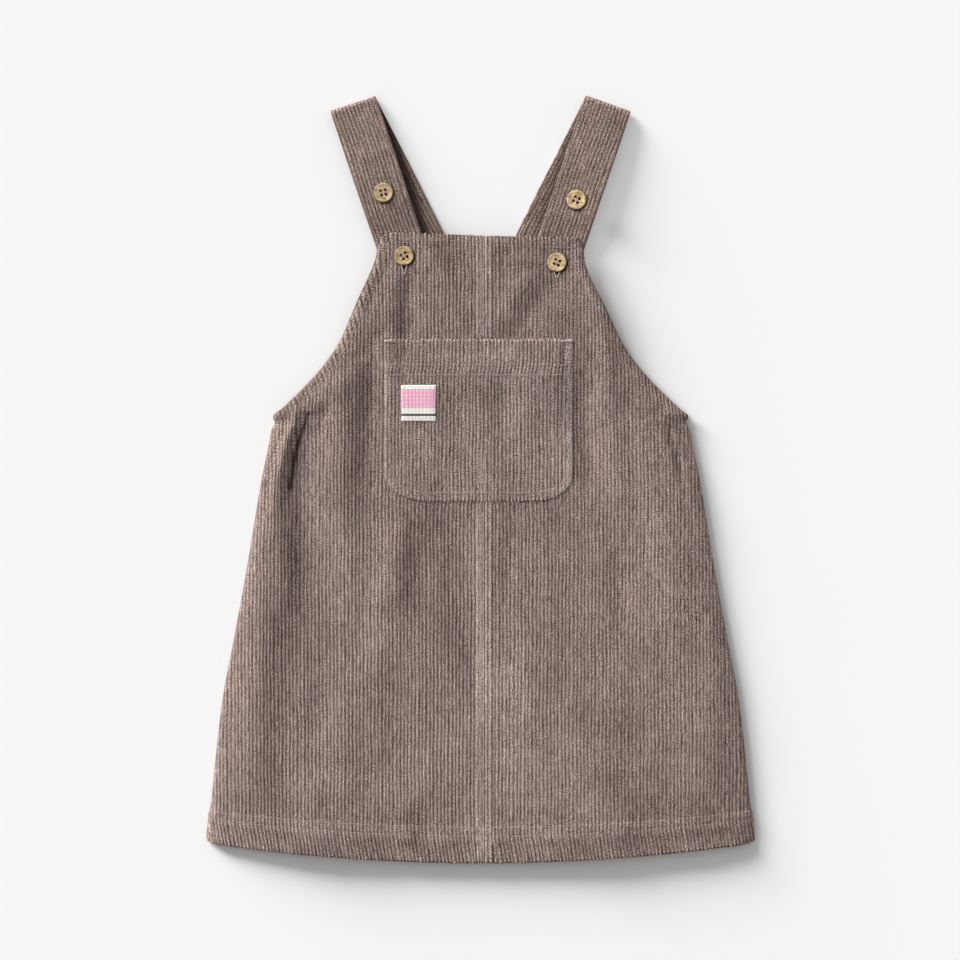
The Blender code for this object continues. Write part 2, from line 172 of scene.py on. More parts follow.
def wander(x, along):
    """How far the wales stray sideways: they never run quite straight."""
    slow = 0.00030 * np.sin(along / 0.085 + x / 0.060 + 4.0)
    mid = 0.00020 * np.sin(along / 0.036 - x / 0.047 + 1.3)
    short = 0.00014 * np.sin(along / 0.0125 + x / 0.021) + 0.00012 * np.sin(along / 0.0061 - x / 0.015)
    return slow + mid + short


def wale_place(phase, salt):
    """Distance across the cloth of a number of wales: no two are quite equally wide."""
    whole = np.floor(phase)
    part = phase - whole
    uneven = (1 - part) * chance(whole, salt) + part * chance(whole + 1, salt)
    return WALE * (phase + WALE_UNEVEN * uneven)


def wale_relief(phase, along):
    """Height of the pile's ribs, 0 in the furrows and about 1 on the ridges."""
    whole = np.floor(phase)
    rib = 1 - np.abs(2 * (phase - whole) - 1) ** WALE_ROUND
    long = 0.09 * np.sin(2.4 * whole + along / 0.0051 + 3 * np.sin(1.7 * whole))
    short = 0.07 * np.sin(5.1 * whole + along / 0.0019 + 2 * np.sin(0.9 * whole))
    return rib * (0.90 + long + short + 0.16 * chance(whole, 5))


def row_heights(*runs):
    """Heights of the mesh's rows: each run is (from, to, about how far apart)."""
    parts = []
    for low, high, apart in runs:
        parts.append(np.linspace(low, high, max(2, round((high - low) / apart) + 1))[:-1])
    return np.concatenate(parts + [[runs[-1][1]]])


def clipped_grid(x, low, high):
    """Columns stop at each row's two ends. Returns their x, and which points are new ones
    with the vertex number of each."""
    low, high = low[:, None], high[:, None]
    x = np.where(x < low + SNAP, low, np.where(x > high - SNAP, high, x))
    fresh = np.ones(x.shape, bool)
    fresh[:, 1:] = np.diff(x, axis=1) > 1e-7
    return x, (fresh, (np.cumsum(fresh.ravel()) - 1).reshape(x.shape))


def grid_faces(ids, flip):
    """Quads of a grid, and triangles where a column has stopped."""
    low, high = ids[:-1], ids[1:]
    corners = np.stack([low[:, :-1], low[:, 1:], high[:, 1:], high[:, :-1]], -1).reshape(-1, 4)
    shut_low = corners[:, 0] == corners[:, 1]
    shut_high = corners[:, 2] == corners[:, 3]
    faces = []
    for some in (
        corners[~shut_low & ~shut_high],
        corners[shut_low & ~shut_high][:, 1:],
        corners[~shut_low & shut_high][:, :3],
    ):
        faces += some[:, :: -1 if flip else 1].tolist()
    return faces


def link_object(name, mesh):
    obj = bpy.data.objects.new(name, mesh)
    bpy.context.scene.collection.objects.link(obj)
    return obj


def new_piece(name, points, faces, cloth=None):
    """A smooth mesh object; cloth is a vector at each point that its material reads."""
    mesh = bpy.data.meshes.new(name)
    mesh.from_pydata(points.reshape(-1, 3).tolist(), [], faces)
    mesh.shade_smooth()
    if cloth is not None:
        made = mesh.attributes.new("cloth", "FLOAT_VECTOR", "POINT")
        made.data.foreach_set("vector", cloth.astype(np.float32).ravel())
    return link_object(name, mesh)


def closed_cloth(name, outer, outer_grid, inner, inner_grid, cloth, flip=False):
    """A closed mesh from a fine outer and a coarse inner grid of points, joined by a rim."""
    (fresh_o, ids_o), (fresh_i, ids_i) = outer_grid, inner_grid
    ids_i = ids_i + int(fresh_o.sum())
    faces = grid_faces(ids_o, flip) + grid_faces(ids_i, not flip)
    rim = []
    for side in (0, -1):
        o, i = ids_o[:, side], ids_i[:, side]
        rim.append((np.stack([o[:-1], o[1:], i[1:], i[:-1]], 1).tolist(), side == 0))
    for end in (0, -1):
        strip = []
        for j in range(ids_i.shape[1] - 1):
            fine = ids_o[end, WALE_SAMPLES * j : WALE_SAMPLES * (j + 1) + 1]
            ring = [ids_i[end, j], ids_i[end, j + 1], *fine[::-1].tolist()]
            ring = [v for k, v in enumerate(ring) if v != ring[k - 1]]
            if len(ring) > 2:
                strip.append(ring)
        rim.append((strip, end == 0))
    for strip, as_is in rim:
        faces += strip if as_is != flip else [face[::-1] for face in strip]
    points = np.concatenate([outer[fresh_o], inner[fresh_i]])
    return new_piece(name, points, faces, np.concatenate([cloth[fresh_o], cloth[:, ::WALE_SAMPLES][fresh_i]]))


def unit(vectors):
    return vectors / np.linalg.norm(vectors, axis=-1, keepdims=True)


def normals_of(face, x, row, step=0.0002):
    """Unit normals of a face that is given as face(x, row) -> points."""
    across = face(x + step, row) - face(x - step, row)
    along = face(x, row + step) - face(x, row - step)
    return unit(np.cross(across, along))


def back_face(x, row):
    """The back's underside."""
    edge = side_edge(row, BACK_ARMHOLE)
    y = row + hem_shift(x, row) + BACK_HEM_SHORT * fade(row, HEM_Y, HEM_FADE)
    edge_z = (seam_height(row) - SEAM_GROOVE / 2) * (1 - opening(row)[1])
    inside = np.maximum(edge - np.abs(x), 0)
    return np.stack([x, y, edge_z * (1 - turn_share(inside, BACK_TURN))], -1)


def fill(tree, sockets, values):
    """Gives each input a value or another node's output."""
    for key, value in values.items():
        if isinstance(value, bpy.types.NodeSocket):
            tree.links.new(value, sockets[key])
        else:
            sockets[key].default_value = value


def node(tree, kind, inputs=None, **settings):
    """A shader node with its settings and inputs."""
    made = tree.nodes.new("ShaderNode" + kind)
    for key, value in settings.items():
        setattr(made, key, value)
    fill(tree, made.inputs, inputs or {})
    return made


def calc(tree, operation, *values):
    """A Math node's result."""
    return node(tree, "Math", dict(enumerate(values)), operation=operation).outputs[0]


def noise(tree, place, detail=2.0, roughness=0.5):
    """Noise about 0, from -0.5 to 0.5."""
    inputs = {"Vector": place, "Scale": 1.0, "Detail": detail, "Roughness": roughness}
    return calc(tree, "SUBTRACT", node(tree, "TexNoise", inputs).outputs["Fac"], 0.5)


def clamp(tree, value):
    return node(tree, "Clamp", {0: value}).outputs[0]


def blend_colour(tree, share, first, second):
    return node(tree, "Mix", {0: share, 6: first, 7: second}, data_type="RGBA").outputs[2]


def lit_colour(tree, colour, light):
    """A colour made lighter or darker."""
    return node(tree, "VectorMath", {0: colour, "Scale": light}, operation="SCALE").outputs[0]


def bump(tree, strength, distance, height):
    return node(tree, "Bump", {"Strength": strength, "Distance": distance, "Height": height}).outputs[0]


def point_value(tree, name):
    """A value that the mesh keeps at each of its points."""
    return node(tree, "Attribute", attribute_name=name).outputs


def blank_material(name):
    """A new material, its nodes and its Principled shader's inputs."""
    made = bpy.data.materials.new(name)
    made.use_nodes = True
    return made, made.node_tree, made.node_tree.nodes["Principled BSDF"].inputs


def corduroy_group():
    """Pile in ribs: its colour and fine grain, from the wales' count and the distance along them."""
    tree = bpy.data.node_groups.new("corduroy_pile", "ShaderNodeTree")
    for side, kind, labels in (
        ("INPUT", "Vector", ("Cloth",)),
        ("INPUT", "Color", ("Ridge", "Furrow", "Lighter_wear_and_painted_light", "Cool", "Deep")),
        ("INPUT", "Float", ("Streaks", "Grain", "Patches")),
        ("OUTPUT", "Color", ("Color",)),
        ("OUTPUT", "Vector", ("Normal",)),
    ):
        for label in labels:
            tree.interface.new_socket(name=label, in_out=side, socket_type="NodeSocket" + kind)
    given = tree.nodes.new("NodeGroupInput").outputs
    wales, along, wear_and_painted_light = node(tree, "SeparateXYZ", {0: given["Cloth"]}).outputs

    def times_plus(value, times, plus):
        return calc(tree, "MULTIPLY_ADD", value, times, plus)

    def pile_noise(across, lengthways, salt, detail=3.0, roughness=0.6):
        x, y = calc(tree, "MULTIPLY", wales, across), calc(tree, "MULTIPLY", along, lengthways)
        return noise(tree, node(tree, "CombineXYZ", {0: x, 1: y, 2: salt}).outputs[0], detail, roughness)

    count = times_plus(pile_noise(0.8, 0.55, 3.0, 2.0), 0.24, wales)
    off_ridge = calc(tree, "ABSOLUTE", times_plus(calc(tree, "FRACT", count), 2, -1))
    # Darker towards the furrows: partly the ground weave's own colour, partly painted shade; some furrows
    # darker than others.
    deeper = times_plus(pile_noise(0.85, 0.085, 14.0), 2.4, 0.85)
    furrow = calc(tree, "MULTIPLY", calc(tree, "POWER", off_ridge, 1.3), deeper)
    streak = pile_noise(1.15, 0.17, 1.0)
    grain = pile_noise(3.2, 1.25, 5.0, 1.5)
    # Sparse light specks: painted glints of fibres catching the light.
    speck = calc(tree, "SUBTRACT", pile_noise(3.6, 1.90, 30.0, 1.0, 0.5), 0.12)
    light = times_plus(streak, given["Streaks"], 1.0)
    light = times_plus(grain, given["Grain"], light)
    light = times_plus(pile_noise(0.075, 0.024, 9.0, 3.0, 0.55), given["Patches"], light)
    light = times_plus(calc(tree, "MAXIMUM", speck, 0.0), 6.0, light)
    colour = blend_colour(tree, furrow, given["Ridge"], given["Furrow"])
    # Above 0 the cloth's third value blends towards the lighter colour: wear, and painted light.
    wear_and_painted_light_share = calc(tree, "MULTIPLY", wear_and_painted_light, times_plus(furrow, -0.75, 0.85))
    colour = blend_colour(tree, wear_and_painted_light_share, colour, given["Lighter_wear_and_painted_light"])
    cool = clamp(tree, times_plus(pile_noise(0.16, 0.045, 21.0), 2.6, 0.1))
    colour = blend_colour(tree, calc(tree, "MULTIPLY", cool, 0.35), colour, given["Cool"])
    # Below 0 it blends towards the Deep colour: painted shade.
    deep = clamp(tree, calc(tree, "MULTIPLY", wear_and_painted_light, -1))
    colour = blend_colour(tree, deep, colour, given["Deep"])
    fill(tree, tree.nodes.new("NodeGroupOutput").inputs, {
        "Color": lit_colour(tree, colour, calc(tree, "MAXIMUM", light, 0.3)),
        "Normal": bump(tree, 0.8, 0.0008, times_plus(streak, 0.8, grain)),
    })
    return tree


corduroy_pile = corduroy_group()


def corduroy_material(name, ridge, furrow):
    """Cotton corduroy: matt, with a faint bloom on its pile."""
    made, tree, shader = blank_material(name)
    pile = node(tree, "Group", {
        "Cloth": point_value(tree, "cloth")["Vector"],
        "Ridge": ridge,
        "Furrow": furrow,
        # the lighter colour serves wear and painted light, and Deep is the colour of painted shade
        "Lighter_wear_and_painted_light": (0.400, 0.322, 0.292, 1),
        "Cool": (0.215, 0.168, 0.160, 1),
        "Deep": (0.030, 0.017, 0.012, 1),
        "Streaks": 1.5,
        "Grain": 6.5,
        "Patches": 0.70,
    }, node_tree=corduroy_pile).outputs
    fill(tree, shader, {
        "Base Color": pile["Color"],
        "Normal": pile["Normal"],
        "Roughness": 0.95,
        "Specular IOR Level": 0.05,
        "Sheen Weight": 0.04,
        "Sheen Roughness": 0.45,
        "Sheen Tint": (0.95, 0.86, 0.82, 1),
    })
    return made


corduroy = corduroy_material("corduroy", (0.350, 0.270, 0.243, 1), (0.100, 0.058, 0.041, 1))

back_rows = row_heights(
    (HEM_Y, HEM_Y + 0.002, 0.001),
    (HEM_Y + 0.002, 0.030, 0.0042),
    (0.030, 0.064, 0.0012),
    (0.064, BACK_TOP_Y - 0.002, 0.0025),
    (BACK_TOP_Y - 0.002, BACK_TOP_Y, 0.001),
)
columns_each_way = (math.ceil(SKIRT_SIDE[0][1] / WALE) + 2) * WALE_SAMPLES
phase = np.arange(-columns_each_way, columns_each_way + 1) / WALE_SAMPLES
phase, row = np.meshgrid(phase, back_rows)
place = wale_place(phase, 1)
x = place - wander(place, row)
edge = side_edge(back_rows, BACK_ARMHOLE)
x_in, inner_grid = clipped_grid(x[:, ::WALE_SAMPLES], -edge, edge)
x, outer_grid = clipped_grid(x, -edge, edge)
near_edge = ease((edge[:, None] - np.abs(x)) / 0.002)
depth = WALE_DEPTH * (1 - near_edge * wale_relief(phase, row))
row_in = row[:, ::WALE_SAMPLES]
outer = back_face(x, row) + depth[..., None] * normals_of(back_face, x, row)
inner = back_face(x_in, row_in) + CLOTH * normals_of(back_face, x_in, row_in)
cloth = np.stack([phase, row * MILLIMETRES, np.zeros(row.shape)], -1)
back = closed_cloth("back_corduroy", outer, outer_grid, inner, inner_grid, cloth, True)
back.data.materials.append(corduroy)
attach(back, "root")
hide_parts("back")


# ------------------------------------------------------------------ straps
# Each strap is a band of two layers of corduroy, with wales on both faces and plain
# turned edges. It runs up from the back panel, folds over at the shoulder and comes
# down behind the bib, which hangs on its button.

LENGTH = -2 * HEM_Y
CLOTH_SOLID = 0.0016
SEAM_GAP = 0.0003
STRAP_WIDTH = 0.0336
STRAP_THICK = 0.0026
TURN_RADIUS = 0.0021
FRONT_RUN_ANGLE = math.radians(18.6)
BACK_RUN_ANGLE = math.radians(26.7)
TURN_ANGLE = math.radians(19.1)
TURN_X = 0.0883
TURN_Y = (
    LENGTH / 2
    - (TURN_RADIUS + STRAP_THICK / 2) * math.cos(TURN_ANGLE)
    - STRAP_WIDTH / 2 * math.sin(TURN_ANGLE)
)
ON_FLOOR = STRAP_THICK / 2
ON_BACK = CLOTH_SOLID + SEAM_GAP + STRAP_THICK / 2
UNDER_BIB = ON_BACK + STRAP_THICK + SEAM_GAP
FRONT_RUN = (  # distance from the turn, height of the band's middle
    (0.0000, ON_FLOOR + 2 * TURN_RADIUS),
    (0.0250, 0.0066),
    (0.0500, 0.0078),
    (0.0700, 0.0077),
    (0.0860, 0.0066),
    (0.0940, UNDER_BIB),
    (0.1310, UNDER_BIB),
)
BACK_RUN = (
    (0.0000, ON_FLOOR),
    (0.1180, ON_FLOOR),
    (0.1400, ON_BACK),
    (0.1580, ON_BACK),
)
STRAP_TWIST = 0.0008  # the free run lies with its right edge raised
STRAP_WALES = 12
STRAP_EDGE = 0.0009  # round, plain edge of the band
STRAP_EDGE_STEPS = 5
EDGE_TONE = 0.8  # the plain edge's pile is worn lighter
LOWER_FACE = 20  # the lower face's wales are counted on from here
STRAP_PHASE = 40  # and a strap's from here, times its salt
BACK_STATIONS = 96
TURN_STATIONS = 25
FRONT_STATIONS = 130
SHADE_REACH = 0.0050
BUTTON_RADIUS = 0.0070
BUTTONS = (  # name, side, distance from the strap's turn, shift to the right, turn in degrees,
    # shade, how much darker its rim is away from the light
    ("button_bib_left", -1, 0.1097, 0.0000, 31, 0.90, 0.85),
    ("button_bib_right", 1, 0.1145, 0.0016, 69, 1.00, 0.90),
    ("button_spare_left", -1, 0.0630, 0.0004, 12, 0.88, 0.60),
    ("button_spare_right", 1, 0.0684, 0.0005, 65, 1.16, 0.70),
)


def strap_place(side, angle, distance, shift=0.0):
    """A point on the middle line of a strap's run, in plan."""
    x = side * (TURN_X - distance * math.sin(angle))
    return x + shift, TURN_Y - distance * math.cos(angle)


def along_and_across(x, y, start, end):
    """Where a point lies beside a straight line: along it from its start, off it, and its length."""
    dx, dy = end[0] - start[0], end[1] - start[1]
    length = math.hypot(dx, dy)
    along = ((x - start[0]) * dx + (y - start[1]) * dy) / length
    across = ((x - start[0]) * dy - (y - start[1]) * dx) / length
    return along, across, length


def lee_side(dx, dy):
    """How far a direction points away from the light: most of all down and to the right."""
    return ease(0.35 + 0.6 * (dx - dy) / np.maximum(np.hypot(dx, dy), 1e-6))


def painted_button_shadow(x, y):
    """How much the buttons' painted shadows darken the pile close around them, most of all away from the
    light.
    """
    dark = np.zeros(np.shape(x))
    for _, side, distance, shift, *_ in BUTTONS:
        button_x, button_y = strap_place(side, FRONT_RUN_ANGLE, distance, shift)
        dx, dy = x - button_x, y - button_y
        near = fade(np.hypot(dx, dy), BUTTON_RADIUS + 0.0002, 0.0014)
        dark = np.maximum(dark, (0.20 + 0.80 * lee_side(dx, dy)) * near)
    return dark


def strap_line(side):
    """Stations along a strap: x, y, height, angle in plan, and how far the band is twisted."""
    line = []
    for distance in np.linspace(BACK_RUN[-1][0], 0.0, BACK_STATIONS):
        angle = TURN_ANGLE + (BACK_RUN_ANGLE - TURN_ANGLE) * ease(distance / 0.060)
        z = float(smooth_curve(BACK_RUN, distance))
        line.append((*strap_place(side, BACK_RUN_ANGLE, distance), z, angle, 0))
    for turn in np.linspace(0, math.pi, TURN_STATIONS)[1:-1]:
        out = -TURN_RADIUS * math.sin(turn)
        z = ON_FLOOR + TURN_RADIUS * (1 - math.cos(turn))
        line.append((*strap_place(side, TURN_ANGLE, out), z, TURN_ANGLE, 0))
    for distance in np.linspace(0.0, FRONT_RUN[-1][0], FRONT_STATIONS):
        z = float(smooth_curve(FRONT_RUN, distance))
        twist = ease(distance / 0.030) * fade(distance, 0.066, 0.024)
        line.append((*strap_place(side, FRONT_RUN_ANGLE, distance), z, FRONT_RUN_ANGLE, twist))
    return np.array(line)


def strap_ring():
    """One ring round the band: distance across, height and the count of the wales, which is
    0 on the edges and goes on from LOWER_FACE on the lower face."""
    flat = STRAP_WIDTH / 2 - STRAP_EDGE
    count = STRAP_WALES * WALE_SAMPLES
    over = np.linspace(-flat, flat, count + 1)
    wales = np.arange(count + 1) / WALE_SAMPLES
    bend = np.linspace(math.pi / 2, -math.pi / 2, STRAP_EDGE_STEPS + 2)[1:-1]
    half = STRAP_THICK / 2
    plain = np.zeros(len(bend))
    ring_x = [over, flat + STRAP_EDGE * np.cos(bend), over[::-1], -flat - STRAP_EDGE * np.cos(bend)]
    ring_z = [np.full(count + 1, half), half * np.sin(bend), np.full(count + 1, -half), -half * np.sin(bend)]
    ring_w = [wales, plain, wales[::-1] + LOWER_FACE, plain]
    return np.concatenate(ring_x), np.concatenate(ring_z), np.concatenate(ring_w)


def lengths_along(points):
    """Distance of each point from the first one along a line."""
    return np.concatenate([[0], np.cumsum(np.linalg.norm(np.diff(points, axis=0), axis=1))])


def tube_faces(rings, around):
    """Quads of a tube made of rings of points, and a face at each end."""
    ids = np.arange(rings * around).reshape(rings, around)
    after = np.roll(ids, -1, 1)
    quads = np.stack([ids[:-1], after[:-1], after[1:], ids[1:]], -1).reshape(-1, 4)
    return quads, [ids[0, ::-1].tolist(), ids[-1].tolist()]


def strap_mesh(name, side, salt, depth, shade, shade_near):
    """A strap: its wales are depth deep, and its lower run is painted darker by shade, a painted shadow of
    the upper run, from shade_near off the upper run's edge."""
    line = strap_line(side)
    middle = line[:, :3]
    forward = unit(np.gradient(middle, axis=0))
    across = np.stack([np.cos(line[:, 3]), -side * np.sin(line[:, 3]), 0 * line[:, 3]], 1)
    up = unit(np.cross(across, forward))
    ring_x, ring_z, wales = strap_ring()
    s, w = np.meshgrid(lengths_along(middle), wales, indexing="ij")
    on_face = w % LOWER_FACE
    ribbed = (on_face > 0.01) & (on_face < STRAP_WALES - 0.01)
    count = w + STRAP_PHASE * salt
    sink = np.where(ribbed, depth * (1 - wale_relief(count, s)), 0.7 * depth)
    rounded = np.abs(ring_z) < STRAP_THICK / 2 - 1e-6
    sink[on_face * rounded > 0] = 0
    puff = 0.00022 * np.sin(s / 0.011 + ring_x / 0.012 + salt) + 0.00022 * np.sin(s / 0.023 - ring_x / 0.007)
    height = ring_z + np.sign(ring_z) * ~rounded * (puff - sink)
    swing = 0.00035 * np.sin(s / 0.0120 + 2 * salt) + 0.00030 * np.sin(s / 0.0310 + salt)
    swing = swing * (np.abs(ring_x) < STRAP_WIDTH / 2 - 0.002)
    wide = ring_x * (1 + 0.006 * np.sin(s / 0.017 + salt)) + swing
    points = middle[:, None] + wide[..., None] * across[:, None] + height[..., None] * up[:, None]
    points[..., 2] += STRAP_TWIST * line[:, 4, None] * ring_x / (STRAP_WIDTH / 2)
    # Painted shadow: the lower run is painted darker beside the upper run's edge, and the upper run round its
    # buttons.
    ends = [strap_place(side, FRONT_RUN_ANGLE, distance) for distance in (0, FRONT_RUN[-1][0])]
    _, off, _ = along_and_across(points[..., 0], points[..., 1], *ends)
    beside = fade(np.abs(off), STRAP_WIDTH / 2 + shade_near, SHADE_REACH)
    lower_run = np.arange(len(line))[:, None] < BACK_STATIONS
    deep = shade * beside * lower_run + painted_button_shadow(points[..., 0], points[..., 1]) * ~lower_run
    wear_and_painted_light = np.where(ribbed, 0.0, EDGE_TONE * (deep < 0.1))
    quads, caps = tube_faces(*s.shape)
    cloth = np.stack([count, s * MILLIMETRES, wear_and_painted_light - deep], -1)
    return new_piece(name, points, quads.tolist() + caps, cloth)


strap_left = strap_mesh("strap_left_corduroy", -1, 2, 0.9 * WALE_DEPTH, 0.75, 0.0018)
strap_right = strap_mesh("strap_right_corduroy", 1, 3, 0.45 * WALE_DEPTH, 0.40, 0.0020)
# The straps' corduroy is a darker, lower-contrast copy of the dress's: painted shade.
strap_corduroy = corduroy_material("strap_corduroy", (0.300, 0.225, 0.200, 1), (0.108, 0.064, 0.046, 1))
for strap, stands_for in ((strap_left, "strap_left"), (strap_right, "strap_right")):
    strap.data.materials.append(strap_corduroy)
    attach(strap, "root")
    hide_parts(stands_for)


# ------------------------------------------------------------------ front panels
# The two halves of the front, bib and skirt in one, meet at the centre seam, whose
# allowances are pressed open and stitched down on both sides. The hem, the armholes and
# the bib's top are turned under and topstitched.

FRONT_TURN = 0.0105
FRONT_LIE = 0.0046
FRONT_LOWEST = 2 * CLOTH_SOLID + SEAM_GAP + 0.0001
LOWEST_SOFTNESS = 0.0008
EDGE_LOWEST = 0.0032
SIDE_ROLL = (  # left and right: from the edge, half width, rise, how far it moves in
    # lower down, how much of it is gone at the hem, and how far above the hem that begins
    (0.0155, 0.0170, 0.0036, 0.0300, 0.80, 0.070),
    (0.0150, 0.0165, 0.0019, 0.0200, 1.00, 0.220),
)
ROLL_FADE = 0.0450
HEM_LIFT = 0.0023  # the middle of the hem stands off the surface, its corners lie on it
LIFTED = (-0.175, 0.197)  # it lies raised from here to there across the hem
LIFT_OVER = (0.060, 0.040)
LIFT_UP = 0.180
ARMHOLE_LIE = 0.0043
ARMHOLE_DROOP = 0.0160
SEAM_X = 0.0032
BIB_TILT = -0.03
BIB_TILT_OVER = 0.060
POCKET_TOP_Y = 0.0973
FRONT_ARMHOLE = (
    (0.0455, 0.1450),
    (0.0485, 0.1407),
    (0.0553, 0.1330),
    (0.0693, 0.1188),
    (0.0833, 0.1070),
    (0.0973, 0.0980),
    (0.1113, 0.0916),
    (0.1253, 0.0853),
    (0.1393, 0.0784),
    (0.1533, 0.0730),
    (0.1630, 0.0718),
    (0.1700, 0.0690),
)
BIB_TOP_Y = FRONT_ARMHOLE[-1][0]
BIB_OVER_STRAP = UNDER_BIB + STRAP_THICK / 2 + SEAM_GAP + CLOTH_SOLID + 0.0004
BIB_OVER_BACK_RUN = 0.0068
BACK_RUN_UNDER = 0.080  # from here on, measured from the strap's turn, it lies under the bib
FRONT_RUN_UNDER = 0.085
COVER_MARGIN = 0.0050
NEAR_FADE = 0.0700
FAR_FADE = 0.0900
SPAN_FROM = 0.004  # the bib's cloth spans between the straps from this far inside its edges
SPAN_OVER = 0.030
LOWEST_TURN = 0.006
EDGE_SOFTNESS = 0.0004
CREASE_FREE = 0.012  # creases fade out this close to the edges

# Where the cloth folds, and where its pile is lighter or darker from nap and from painted light and shade, in
# tenths of a millimetre.
TENTHS = 10000  # in a metre
FOLDS = (  # half width, rise, from, to
    (85, -8, (-770, 920), (-780, 120)),
    (60, -24, (1325, 480), (1488, 50)), (64, -14, (745, 900), (735, -50)), (90, 14, (850, 980), (830, 300)),
    (80, -30, (-1240, 450), (-1235, -900)), (120, 22, (-1010, 650), (-960, -600)),
    (120, 26, (-610, -250), (-600, -950)), (100, -9, (-284, -180), (-400, -850)),
    (180, 18, (1200, 220), (1330, -900)),
    (130, -14, (-670, -1480), (-910, -2250)),
    (130, -12, (1110, -1550), (1010, -2300)),
)
CREASES = (  # half width, rise, points along it
    # the bib, left of the seam
    (70, -24, (-515, 1463), (-507, 1197), (-529, 903)), (56, 9, (-423, 1624), (-283, 1449), (-171, 1253)),
    (56, -6, (-115, 1197), (-32, 987)), (56, -11, (-262, 1589), (-171, 1449), (-74, 1267)),
    # the bib, right of the seam
    (63, -6, (136, 1617), (220, 1428)), (154, 10, (206, 1652), (179, 1463), (137, 1267)),
    (140, 15, (-227, 1680), (640, 1659)), (91, -13, (599, 1491), (389, 1239), (158, 959), (101, 889)),
    (91, 3, (507, 1561), (305, 1309), (66, 1029)),
    # the armhole and underarm, left
    (49, -7, (-1053, 588), (-1137, 273)), (70, -10, (-703, 1043), (-759, 763), (-759, 343)),
    (35, -19, (-1228, 553), (-1256, 413), (-1298, 259), (-1326, 28), (-1334, -252)),
    (56, -8, (-717, 987), (-766, 553), (-801, 203), (-815, -35)),
    (140, 28, (-927, 1008), (-969, 707), (-977, 378), (-969, -182)),
    # the armhole and underarm, right
    (49, -10, (1201, 567), (1284, 273)), (140, 10, (837, 1148), (990, 833), (1187, 588)),
    (98, 2, (1032, 518), (1075, 203), (1103, -182)),
    (70, 11, (780, 1358), (886, 938), (935, 413), (935, -147)),
    (28, -15, (1278, 469), (1320, 329), (1376, 168), (1439, -91)),
    # the upper skirt, left
    (49, 3, (-241, -357), (-283, -637), (-339, -889)), (42, 7, (-563, -231), (-508, -567)),
    (98, 3, (-731, -301), (-668, -707), (-711, -1071)), (98, -12, (-249, -133), (-178, -567), (-172, -959)),
    (49, 19, (-1250, 539), (-1291, 378), (-1368, 203), (-1431, -7), (-1446, -217), (-1404, -483)),
    (84, 10, (-1376, -392), (-1376, -707), (-1389, -987)),
    (91, -20, (-129, -357), (-115, -777), (-59, -1197), (-24, -1547)),
    # the upper skirt, right
    (70, 6, (963, 413), (990, 63), (990, -322)), (49, -7, (766, 273), (766, -147)),
    (56, -10, (220, -203), (206, -567), (192, -882)), (70, -11, (934, -462), (990, -777), (1004, -1162)),
    (63, -6, (473, -217), (528, -567)),
    # the lower skirt, left
    (98, 4, (-577, -1057), (-759, -1337), (-955, -1631)),
    (84, 4, (-1179, -1127), (-1221, -1547), (-1277, -2037)), (112, 9, (-774, -1449), (-725, -2072)),
    # the lower skirt, right
    (112, -7, (1018, -1407), (990, -1827), (920, -2247)),
    (84, 11, (1172, -847), (1201, -1267), (1158, -1687)),
    (126, 3, (1508, -1267), (1578, -1757), (1620, -2387)),
    (77, 10, (304, -987), (347, -1477), (333, -1827)), (84, -9, (556, -847), (598, -1267), (556, -1687)),
    (210, 13, (416, -1099), (459, -2002)), (182, 13, (920, -1127), (949, -1827), (963, -2667)),
    (196, 16, (1550, -1127), (1494, -1827), (1480, -2667)),
    # the hem, left
    (70, 9, (-339, -2107), (-458, -2289)), (70, -7, (-1053, -2107), (-1109, -2429)),
    (210, 5, (-1354, -1547), (-1404, -2107), (-1446, -2597)), (84, 14, (-528, -2142), (-507, -2653)),
    (385, 28, (-1109, -2002), (-1095, -2737)),
    # the hem, right
    (84, 6, (1032, -2212), (990, -2597)), (238, 5, (1257, -1792), (1285, -2632)),
    (182, 2, (1565, -1652), (1620, -2597)), (406, 36, (766, -1757), (809, -2737)),
)
